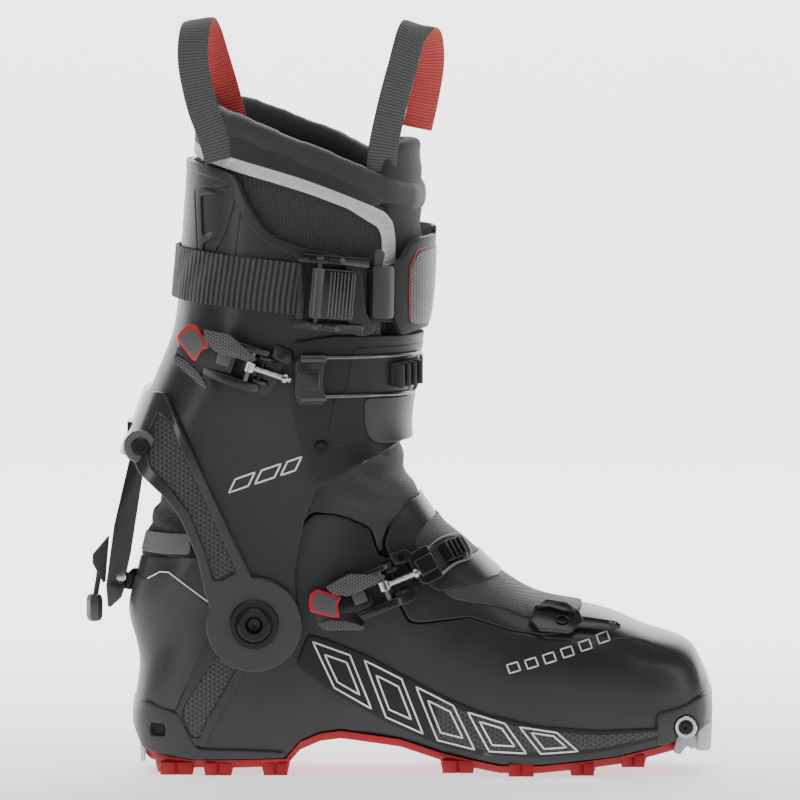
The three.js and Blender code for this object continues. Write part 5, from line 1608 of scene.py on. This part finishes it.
# ---------------- buckles
@dataclass
class Buckle:
    """An over-centre buckle: base, lever with its pad and wings, and adjusting screw."""

    name: str
    lever_joint: str
    bail_joint: str
    base_body: Body
    lever_body: Body
    bail_body: Body
    rod: float
    wing_lean: float = 0.0
    axle_high: float = 4.3
    pin: tuple[float, float] = (-6.0, 7.8)

    def seat(self) -> Matrix:
        """The buckle's own axes, from the places of its two joints.

        Returns:
            x along the pull, y along the axle, z out of the boot.
        """
        lever, bail = joint(self.lever_joint), joint(self.bail_joint)
        y = Vector(lever["axis"]).normalized()
        at = Vector(lever["pos_m"]) / MM
        way = (Vector(bail["pos_m"]) / MM - at).normalized()
        other = y.cross(way)
        back, rise = self.pin[0], self.pin[1] - self.axle_high
        long = math.hypot(back, rise)
        x = (way * back + other * rise) / long
        z = (way * rise - other * back) / long
        return axes(x, y, z, at - z * self.axle_high)

    def build(self) -> None:
        """Builds base, lever and screw."""
        turn = self.seat()
        self.base(turn)
        self.lever(turn)
        self.screw(turn)

    def base(self, turn: Matrix) -> None:
        """The base plate with its ears and axle."""
        plate_outline = [(-6, -9.5), (-3, -12.5), (7, -12.5), (10, -6), (10, 6), (7, 12.5), (-3, 12.5), (-6, 9.5)]
        parts = [block(plate_outline, 0, 1.5, turn, 0.4, 0, 1.5)]
        ear = [(-4.4, 0.6), (6, 0.6), (5.4, 4), (2.2, 6.6), (-2.2, 6.6)]
        for low, high in ((-7.2, -5.2), (5.2, 7.2)):
            parts.append(upright(ear, low, high, turn, 0.35, 0, 1))
        parts.append(block([(3, 7.6), (12, 6.6), (14, 9), (12, 13.4), (3, 14.4)], 0.4, 4.4, turn, 0.6, 0, 1))
        parts.append(bar(turn, (7.6, 10.4, 4), (7.6, 10.4, 5.2), 1.9, 1))
        parts.append(bar(turn, (0, -10.8, self.axle_high), (0, 10.8, self.axle_high), 1.3, 1))
        piece(f"{self.name}_base_skin", parts, self.base_body, [BUCKLE_BLACK, DARK_STEEL], [f"{self.name}_buckle_base"])

    def lever(self, turn: Matrix) -> None:
        """The lever's arms, spine, textured wings and red-edged pad."""
        spine = [(-44.4, -1), (-44, 5), (-37, 10), (-28, 8.6), (-14, 8), (-14, -8), (-27, -9.6), (-36, -6.4)]
        parts = [block(spine, 2, 5.4, turn, 0.6, 0, 1.5)]
        arm = [(-29, 2.2), (-29, 5.2), (-16, 8.6), (-9, 9.6), (-4.6, 9.6), (-1.5, 8.4), (1.9, 6.3), (2.2, 2.6),
               (0, 1.7)]
        for low, high in ((-12.2, -7.5), (7.5, 10.6)):
            parts.append(upright(arm, low, high, turn, 0.7, 0, 1.2))
        tilt = Matrix.Rotation(math.radians(4), 4, "Y")
        upper = [(-34.6, 11.3), (-21.2, 12.9), (-3.9, 5.1), (-5.8, 2.5), (-25.6, 2.2), (-33, 6)]
        lower = [(-44.8, -5.9), (-43.4, -10.1), (-25.1, -18), (-23.1, -17), (-30.2, -10.9), (-38, -7)]
        parts.append(block(upper, 6.8, 9, turn @ tilt, 0.5, 1, 0.8))
        web = [(-44.4, -2), (-44, -8.4), (-25.6, -16.4), (-22, -15), (-24, -8), (-34, -5)]
        lean = turn @ Matrix.Rotation(math.radians(self.wing_lean), 4, "X")
        parts.append(block(lower, 4.2, 6.6, lean, 0.5, 1, 0.8))
        parts.append(block(web, 2.4, 4.6, lean, 0.5, 0, 0.8))
        parts.append(block([(-23.4, -3.6), (-16.4, -3.6), (-16.4, 2.6), (-23.4, 2.6)], 5, 7.4, turn, 0.5, 2, 0.8))
        pin = self.pin
        parts.append(bar(turn, (pin[0], -9, pin[1]), (pin[0], 9, pin[1]), 1.2, 2))
        skin(f"{self.name}_lever", parts, self.lever_body, BUCKLE_BLACK, WING_GRIP, PAD_GREY)
        pad = [(-42.9, 10.9), (-38.5, 11.9), (-28.3, 3.2), (-31.6, 0.7), (-33.1, -6.2), (-35.7, -5.3), (-46, 2.1),
               (-45.4, 6)]
        centre = np.mean(pad, axis=0)
        inner = [tuple(centre + (np.array(p) - centre) * 0.78) for p in pad]
        parts = [block(pad[::-1], 5.7, 8.4, turn, 0.6, 0, 1.2), block(inner[::-1], 8.1, 8.8, turn, 0.3, 1, 1)]
        piece(f"{self.name}_pad_skin", parts, self.lever_body, [PAD_RED, PAD_GREY], [f"{self.name}_lever_pad"])

    def screw(self, turn: Matrix) -> None:
        """The threaded rod from the lever's pin to the block."""
        x, z = self.pin
        path = np.array([(turn @ Vector((v, 0, z)))[:] for v in np.linspace(x + 2, self.rod, 140)])
        parts = [tube(path, 1.75, 0, 20, 0.28, 0.9)]
        parts.append(bar(turn, (x, -2.6, z), (x, 2.6, z), 3.1, 0))
        collar = [(0, 0), (0, 2.2), (0.6, 2.7), (2.2, 2.7), (2.8, 2.2), (2.8, 0)]
        parts.append(lathe(collar, turn @ Matrix.Translation((self.rod - 4.4, 0, z)) @ Matrix.Rotation(math.pi / 2, 4,
                                                                                                       "Y")))
        skin(f"{self.name}_screw", parts, self.bail_body, STEEL)


def rack_parts(turn: Matrix, long: float, wide: float, teeth: int) -> list[tuple]:
    """A toothed rack.

    Args:
        turn: its axes, x along the teeth.
        long: length over the teeth.
        wide: its width.
        teeth: how many.

    Returns:
        Mesh parts.
    """
    pitch = long / teeth
    w = wide / 2
    parts = [block([(0, -w), (long + 2, -w), (long + 2, w), (0, w)], 0, 2.2, turn, 0.4, 0, 1.5)]
    for i in range(teeth):
        x0 = i * pitch + 0.5
        tooth = [(x0, 1.8), (x0 + pitch * 0.3, 6.8), (x0 + pitch * 0.5, 7.6), (x0 + pitch * 0.8, 7.4),
                 (x0 + pitch * 0.9, 1.8)]
        parts.append(upright(tooth, -w + 0.4, w - 0.4, turn, 0.5, 0, 0.5))
    return parts


@dataclass
class UpperPull:
    """What the upper buckle pulls: its block, wire and rack."""

    wire: float = 2.0
    lift: float = 4.55

    def build(self) -> None:
        """Builds block, wire and rack."""
        turn = LEG.seat(47, 206, 0, 4)
        body = [(-7.4, -8), (-5.4, -12.4), (7.2, -12.4), (7.6, -6), (6.6, 0), (7.6, 7), (7.2, 12.6), (-4.6, 12.4),
                (-7.4, 9.4)]
        parts = [block(body, 0, 4.6, turn, 0.7, 0, 1.4),
                 block([(-6.4, -4.4), (5.4, -4.4), (5.4, 5.2), (-6.4, 5.2)], 4, 6.6, turn, 0.7, 0, 1.2)]
        for y in (-9, 11):
            parts.append(bar(turn, (-4.4, y, 3), (8.6, y, 2.6), 2.3, 0))
        skin("upper_block", parts, Body.UPPER_BAIL, BUCKLE_BLACK)
        high, low = 217.0, 197.0
        arc = [[leg_point(z, a, self.lift)[:] for a in (78, 66, 54, 43, 33, 24, 16)] for z in (high, low)]
        front = [leg_point(z, 11, self.lift + 0.4)[:] for z in (213, 207, 201)]
        starts = [(51.5, leg_point(z, 78, self.lift).y + 0.6, z) for z in (high, low)]
        path = smooth_path([starts[0], *arc[0], *front, *arc[1][::-1], starts[1]], 6)
        piece("upper_wire_skin", [tube(path, self.wire / 2)], Body.UPPER_BAIL, [WIRE_STEEL], ["upper_bail"])
        at = leg_point(207.5, 42, 0)
        seat = LEG.seat(at.x, at.z, 0, 3.05)
        skin("upper_rack", rack_parts(seat, 17, 13, 4), Body.CUFF, SMOOTH_RUBBER)


@dataclass
class InstepPull:
    """What the instep buckle pulls: its block, wire and rack."""

    wire: float = 2.0
    rack_long: float = 11.0

    def build(self) -> None:
        """Builds block, wire and rack."""
        turn = FOOT.seat(105.8, 107.2, 30, 5)
        body = [(-7.5, -7), (-4.5, -9.4), (5, -9.4), (5, 9.4), (-4.5, 9.4), (-7.5, 7)]
        parts = [block(body, -1.6, 4.4, turn, 0.7, 0, 1.3),
                 block([(-6, -4.6), (4, -4.6), (4, 4.6), (-6, 4.6)], 4, 7.2, turn, 0.7, 0, 1.2)]
        skin("instep_block", parts, Body.INSTEP_BAIL, BUCKLE_BLACK)
        foot = turn @ Vector((9, 0, 0))
        seat = FOOT.seat(foot.x, foot.z, 30, 1.4)
        skin("instep_rack", rack_parts(seat, self.rack_long, 10, 4), Body.SHELL, BUCKLE_BLACK)
        end = self.rack_long + 4
        knots = ((turn, 2.2, 7.5, 1.5), (turn, 6, 7.5, 1.2), (seat, 3, 7.4, 3.2), (seat, self.rack_long, 7.2, 2.6),
                 (seat, end - 0.8, 5.6, 2.3), (seat, end, 2.6, 2.2))
        ways = [[(base @ Vector((x, s * y, z)))[:] for base, x, y, z in knots] for s in (1, -1)]
        path = smooth_path([*ways[0], *ways[1][::-1]], 6)
        piece("instep_wire_skin", [tube(path, self.wire / 2)], Body.INSTEP_BAIL, [WIRE_STEEL], ["instep_bail"])


# ---------------- walk mechanism
@dataclass
class WalkMechanism:
    """The rear lever with its bracket, catch and pull cord."""

    cord: float = 2.8
    route: Sequence[tuple[float, float, float]] = (
        (-61.6, 0, 108), (-61.6, 0, 103), (-62.2, 0, 98), (-63.2, 0, 92), (-64, 0, 84), (-64.2, 0, 77.4),
    )

    def build(self) -> None:
        """Builds the lever's pieces and its cord."""
        refined("walk_lever", Body.WALK, BUCKLE_BLACK, 0.5)
        refined("lever_bracket", Body.CUFF, BUCKLE_BLACK, 0.4)
        refined("lever_pin", Body.CUFF, STEEL, 0.3)
        refined("catch_bar", Body.SHELL, STEEL, 0.3)
        refined("catch_bracket", Body.SHELL, DARK_STEEL, 0.3)
        refined("cord_anchor", Body.WALK, SMOOTH_RUBBER, 0.5)
        rings = [(76.4, 0), (76.4, 2.4), (77, 3.2), (78.6, 4), (80, 4.2), (87, 4.2), (88.6, 3.9), (90.2, 3.2),
                 (90.6, 2.4),
                 (90.6, 0)]
        at = Matrix.Translation((-64.1, 0, 0))
        toggle = piece("cord_toggle_skin", [lathe(rings, at, 0, 6)], Body.WALK, [BUCKLE_BLACK], ["cord_toggle"], 25)
        path = smooth_path(self.route, 6)
        cord = skin("pull_cord", [tube(path, self.cord / 2, 0, 16)], Body.WALK, CORD_BRAID)


# ---------------- liner and soft parts
@dataclass
class Liner:
    """The soft inner boot: foot, leg, rim roll, band, tongue, gaiters and pull loops."""

    wall: float = 6.0
    rim_line: Outline = ((-40, 341), (2.6, 341), (45, 325), (90, 305), (120, 293))
    band_wide: float = 6.5
    band_depth: float = -2.9
    leg_depth: float = -4.6
    foot_depth: float = -4.4
    roll_wide: float = 6.2
    roll_high: float = 8.0
    roll_sides: int = 28

    def leaning(self, points: Outline, radius: float = 1.0) -> Region:
        """A region that rises towards the medial side."""
        rounded = filleted(points, radius)
        return Region(lambda p: inside_distance(rounded, p[:, 0], p[:, 2] - MEDIAL_RISE * p[:, 1]))

    def build(self) -> None:
        """Builds every soft piece."""
        self.inner()
        self.rim()
        self.band()
        self.tongue()
        self.gaiters()
        self.loops()

    def inner(self) -> None:
        """The liner's foot and leg as one padded piece."""
        top = [(x, z - 10) for x, z in self.rim_line[:4]]
        cuff_room = self.leaning([(-60, 140), *top, (90, 140)]) - Region.disc(PIVOT[0], PIVOT[2], 110)
        leg = LEG.panel(self.leg_depth, self.wall, cuff_room, 1.2, 160)
        room = [(-32, 17), (-13.8, 13), (34.8, 15), (46, 24), (63, 29.5), (93.7, 25), (129.5, 14.5), (165.4, 11.5),
                (206.3, 15.5), (225, 20), (231, 35), (246, 41), (246, 121), (98, 121), (98, 176), (-50, 176), (-50, 60)]
        foot = FOOT.panel(self.foot_depth, self.wall, Region.outline(room, 3), 1.2, 130)
        made = piece("liner_skin", [leg, (*foot, 1)], None, [LINER_MESH, LINER_CLOTH],
                     ["liner_foot_lateral", "liner_foot_medial", "liner_cuff"])
        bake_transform(made)

    def rim(self) -> None:
        """The thick padded roll around the top."""
        xs, zs = zip(*self.rim_line)
        ring = []
        for degrees in np.arange(0, 360, 3.0):
            a = math.radians(degrees)
            base = leg_point(325, degrees, -8.4)
            z = float(np.interp(base.x, xs, zs)) + MEDIAL_RISE * base.y - 2.8
            crease = 0.5 * math.sin(9 * a + 1.3) + 0.35 * math.sin(23 * a)
            ring.append((base.x, base.y, z + crease))
        path = np.array(ring)
        for _ in range(6):
            path = (np.roll(path, 1, axis=0) + 2 * path + np.roll(path, -1, axis=0)) / 4
        centre = path.mean(axis=0)
        way = unit(np.roll(path, -1, axis=0) - np.roll(path, 1, axis=0))
        points, faces, runs = [], [], []
        sides, count = self.roll_sides, len(path)
        for i, at in enumerate(path):
            out = at - centre
            out[2] = 0
            out = unit(out - way[i] * out.dot(way[i]))
            up = np.cross(way[i], out)
            up = up if up[2] > 0 else -up
            fold = 1 + 0.03 * math.sin(i * 0.9) + 0.02 * math.sin(i * 2.3)
            for k in range(sides):
                a = math.tau * k / sides
                wide = self.roll_wide * fold * math.copysign(abs(math.cos(a)) ** 0.8, math.cos(a))
                high = self.roll_high * fold * math.copysign(abs(math.sin(a)) ** 0.8, math.sin(a))
                points.append(at + out * wide + up * high)
                runs.append((i * 3.0, k * 1.5))
        for i in range(count):
            j = (i + 1) % count
            for k in range(sides):
                n = (k + 1) % sides
                faces.append((i * sides + k, j * sides + k, j * sides + n, i * sides + n))
        rim = skin("liner_rim", [(np.array(points), faces, np.array(runs), 0)], Body.CUFF, NEOPRENE)
        fix_normals(rim)

    def band(self) -> None:
        """The white band with its zigzag stitch, and the dark fleece above it."""
        knots = [(-34, 328.6), (-8.7, 325.4), (18, 319.6), (42.5, 312.8), (64, 304.8), (80, 297.6)]
        top = [(float(x), float(z)) for x, z in smooth_path(knots, 5)]
        under = [(x, z - self.band_wide) for x, z in top]
        outline = [*top, (86.6, 294), (90.4, 288.4), (91.6, 280), (91.6, 262), (84.8, 262), (84.8, 281),
                   (83, 286.4), *under[:-4][::-1]]
        collar = [(x, z - 0.4) for x, z in top] + [(90, 299), (45, 322), (2.6, 336), (-34, 336)]
        fleece = LEG.panel(self.band_depth, 3.4, self.leaning(collar) & Region(lambda p: 88 - p[:, 0]), 1)
        band = LEG.panel(self.band_depth, 1.2, self.leaning(outline, 1.5), 0.35)
        skin("liner_band", [band, (*fleece, 1)], Body.CUFF, STITCH_WHITE, LINER_FLEECE)
        middle = [((a[0] + b[0]) / 2, (a[1] + b[1]) / 2) for a, b in zip(top, under)]
        line = np.array([*middle[:-3], (84, 291), (87.4, 286.6), (88.2, 280), (88.2, 266)], float)
        run = lengths(line)
        points = []
        for k, s in enumerate(np.arange(27, run[-1], 1.3)):
            x, z = np.interp(s, run, line[:, 0]), np.interp(s, run, line[:, 1])
            ahead = np.array([np.interp(s + 1, run, line[:, 0]) - x, np.interp(s + 1, run, line[:, 1]) - z])
            ahead = unit(ahead)
            off = 2.1 if k % 2 else -2.1
            x, z = x - ahead[1] * off, z + ahead[0] * off
            place, normal = LEG.touch(x, z - MEDIAL_RISE * 42, Side.LATERAL, self.band_depth)
            points.append((place + normal * 0.3)[:])
        piece("band_stitch", [tube(np.array(points), 0.4, 0, 6)], Body.CUFF, [PRINT_WHITE])

    def tongue(self) -> None:
        """The padded tongue that closes the front."""
        outline = [(86, 200), (86, 316), (90, 323), (98, 326), (140, 326), (140, 200)]

        def puff(data: np.ndarray) -> np.ndarray:
            """The padding, thinner towards the top."""
            lift = np.clip((data[:, 2] - 280) / 50, 0, 1)
            return -1.2 - 1.5 * lift + 0.5 * np.sin(data[:, 2] * 0.35)

        body = LEG.panel(-2.5, 9, Region.outline(outline, 9), 3.2, 200, puff)
        tongue = skin("liner_tongue", [body], Body.CUFF, LINER_CLOTH)

    def gaiters(self) -> None:
        """The soft gaiters between shell and cuff."""
        front = [(83, 115.4), (79, 128.2), (68.4, 133.2), (60, 135.6), (48, 136.6), (42, 128), (30, 124), (30, 178),
                 (112, 182), (112, 149), (97.8, 139), (88, 129), (84, 121.5), (86, 113.5)]

        def folds(data: np.ndarray) -> np.ndarray:
            """Slanted folds over the instep."""
            line = data[:, 0] * 0.35 + data[:, 2]
            return 0.9 * np.sin(line * 0.42 + 0.8 * np.sin(data[:, 0] * 0.09)) * np.clip((data[:, 0] - 58) / 20, 0, 1)

        made = skin("gaiter_front", [FOOT.panel(-0.8, 1.6, Region.outline(front, 3), 0.5, 0, folds)], None,
                    GAITER_CLOTH)
        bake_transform(made)
        heel = [(-60, 112.2), (-38.9, 112.2), (0, 112.3), (26, 119.2), (26, 182), (-60, 182)]

        def pleats(data: np.ndarray) -> np.ndarray:
            """Pleats above the heel."""
            return 0.8 * np.sin((data[:, 2] + 0.5 * data[:, 0]) * 0.5)

        slot_room = Region(lambda p: np.maximum(np.abs(p[:, 1]) - 9.4, -38 - p[:, 0] + 200 * (p[:, 2] < 118)))
        made = skin("gaiter_heel", [FOOT.panel(-0.8, 1.6, Region.outline(heel, 2) & slot_room, 0.5, 0, pleats)], None,
                    LINER_CLOTH)
        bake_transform(made)
        tag = Region.outline([(-60, 114.4), (-14, 114.4), (-14, 125), (-60, 125)],
                             1) & Region(lambda p: np.abs(p[:, 1]) - 9.6)
        skin("heel_tag", [FOOT.panel(1.1, 1.2, tag.lateral(), 0.4)], Body.SHELL, TAG_GREY)

    def loops(self) -> None:
        """The two pull loops of webbing, grey outside and red inside."""
        rear = [(1.6, -38.8, 317), (-1.8, -38, 329), (-8, -34.5, 346), (-12.2, -29, 366), (-12, -21, 380.6),
                (-9.6, -9, 387.4), (-6, 2, 381), (-1.6, 9, 366), (3, 13, 350), (7, 15, 334)]
        front = [(84, -35.5, 311), (85.4, -35, 325), (90, -32, 346), (95.4, -28, 366), (99.4, -21, 380),
                 (103.6, -11, 384.6), (107.8, -2, 378), (108.8, 3, 364), (106, 5, 346), (102.6, 6, 331)]
        for name, knots, width_way in (("rear", rear, (1.0, 0.0, 0.16)), ("front", front, (1.0, 0.25, -0.3))):
            path = smooth_path(knots, 8)
            band = ribbon(path, np.tile(np.array(width_way), (len(path), 1)), 15, 1.7, (0, 1))
            fix_normals(skin(f"{name}_loop", band, Body.CUFF, LOOP_WEB, LOOP_RED))


def fix_normals(made: bpy.types.Object) -> None:
    """Turns every face of a piece outwards."""
    work = bmesh.new()
    work.from_mesh(made.data)
    bmesh.ops.remove_doubles(work, verts=work.verts, dist=1e-6)
    bmesh.ops.recalc_face_normals(work, faces=work.faces)
    work.to_mesh(made.data)
    work.free()


# ---------------- studio
@dataclass
class Studio:
    """A pale floor and backdrop, soft lamps and the camera."""

    wide: float = 0.4096
    glow: float = 2.6
    near_glow: float = 0.1
    reach: float = 27.0
    wall_at: float = 12.0
    bend: float = 6.0
    air: float = 0.11
    distance: float = 6.0
    elevation: float = 4.6
    aim: tuple[float, float, float] = (0.0937, -0.045, 0.1945)

    def build(self) -> None:
        """Builds the whole studio."""
        self.backdrop()
        self.lamps()
        self.camera()

    def backdrop(self) -> None:
        """A floor that curves up into a wall, and the world's light."""
        turns = np.linspace(0.1, math.pi / 2, 14)
        profile = [(-self.reach, 0.0), (self.wall_at, 0.0)]
        profile += [(self.wall_at + self.bend * math.sin(a), self.bend - self.bend * math.cos(a)) for a in turns]
        profile += [(self.wall_at + self.bend, self.reach)]
        points = [(x, y, z) for y, z in profile for x in (-self.reach, self.reach)]
        faces = [(2 * i, 2 * i + 1, 2 * i + 3, 2 * i + 2) for i in range(len(profile) - 1)]
        mesh = bpy.data.meshes.new("studio_floor")
        mesh.from_pydata(points, [], faces)
        mesh.polygons.foreach_set("use_smooth", [True] * len(faces))
        floor = bpy.data.objects.new("studio_floor", mesh)
        bpy.context.scene.collection.objects.link(floor)
        paper = bpy.data.materials.new("pale_paper")
        paper.use_nodes = True
        tree = Tree(paper.node_tree)
        depth = tree.span(tree.place()[1], -0.35, 0.7)
        tree.fix(paper.node_tree.nodes["Principled BSDF"], Base_Color=(0.93, 0.93, 0.93), Roughness=0.95,
                 Emission_Color=tree.blend(depth, (self.near_glow,) * 3, (1.0, 1.0, 1.0)),
                 Emission_Strength=self.glow)
        mesh.materials.append(paper)
        world = bpy.data.worlds.new("studio_air")
        world.use_nodes = True
        Tree(world.node_tree).fix(world.node_tree.nodes["Background"], Color=(1.0, 1.0, 1.0), Strength=self.air)
        bpy.context.scene.world = world

    def lamp(self, name: str, at: tuple, aim: tuple, size: tuple[float, float], watts: float) -> None:
        """One soft lamp.

        Args:
            name: its name.
            at: its place in metres.
            aim: the point it faces.
            size: its width and height.
            watts: its power.
        """
        data = bpy.data.lights.new(name, "AREA")
        data.shape = "RECTANGLE"
        data.size, data.size_y = size
        data.energy = watts
        made = bpy.data.objects.new(name, data)
        made.location = at
        made.rotation_euler = (Vector(aim) - Vector(at)).to_track_quat("-Z", "Y").to_euler()
        bpy.context.scene.collection.objects.link(made)

    def lamps(self) -> None:
        """A top light, a broad side light and a rim light."""
        centre = (0.09, 0, 0.2)
        self.lamp("top_light", (0.1, -0.4, 1.7), centre, (1.6, 1.2), 12)
        self.lamp("left_light", (-1.5, -1.5, 0.8), centre, (0.5, 1.5), 9)
        self.lamp("right_light", (1.7, -0.9, 0.6), centre, (0.4, 1.3), 5)
        self.lamp("back_light", (0.2, 1.6, 1.3), centre, (1.6, 0.8), 8)

    def camera(self) -> None:
        """A long lens on the lateral side, a little above level."""
        data = bpy.data.cameras.new("view")
        data.sensor_width = 36.0
        data.lens = 36.0 * self.distance / self.wide
        data.clip_end = 100.0
        made = bpy.data.objects.new("view", data)
        a = math.radians(self.elevation)
        aim = Vector(self.aim)
        made.location = aim + Vector((0, -math.cos(a), math.sin(a))) * self.distance
        made.rotation_euler = (aim - made.location).to_track_quat("-Z", "Y").to_euler()
        bpy.context.scene.collection.objects.link(made)
        bpy.context.scene.camera = made


def main() -> None:
    """Builds the studio and every sub-assembly of the boot, in order."""
    logging.basicConfig(level=logging.INFO, format="%(name)s %(message)s", stream=sys.stdout)
    assemblies = [
        Studio(),
        WalkMechanism(),
        LowerShell(),
        Sole(),
        Cuff(),
        PowerStrap(),
        Buckle("upper", "upper_lever_open", "upper_bail_turn", Body.CUFF, Body.UPPER_LEVER, Body.UPPER_BAIL, 16.2),
        UpperPull(),
        Buckle("instep", "instep_lever_open", "instep_bail_turn", Body.SHELL, Body.INSTEP_LEVER, Body.INSTEP_BAIL, 14.5,
               -12.0),
        InstepPull(),
        Liner(),
    ]
    for assembly in assemblies:
        assembly.build()
        LOG.info("%s built", type(assembly).__name__)


if __name__ == "__main__":
    main()
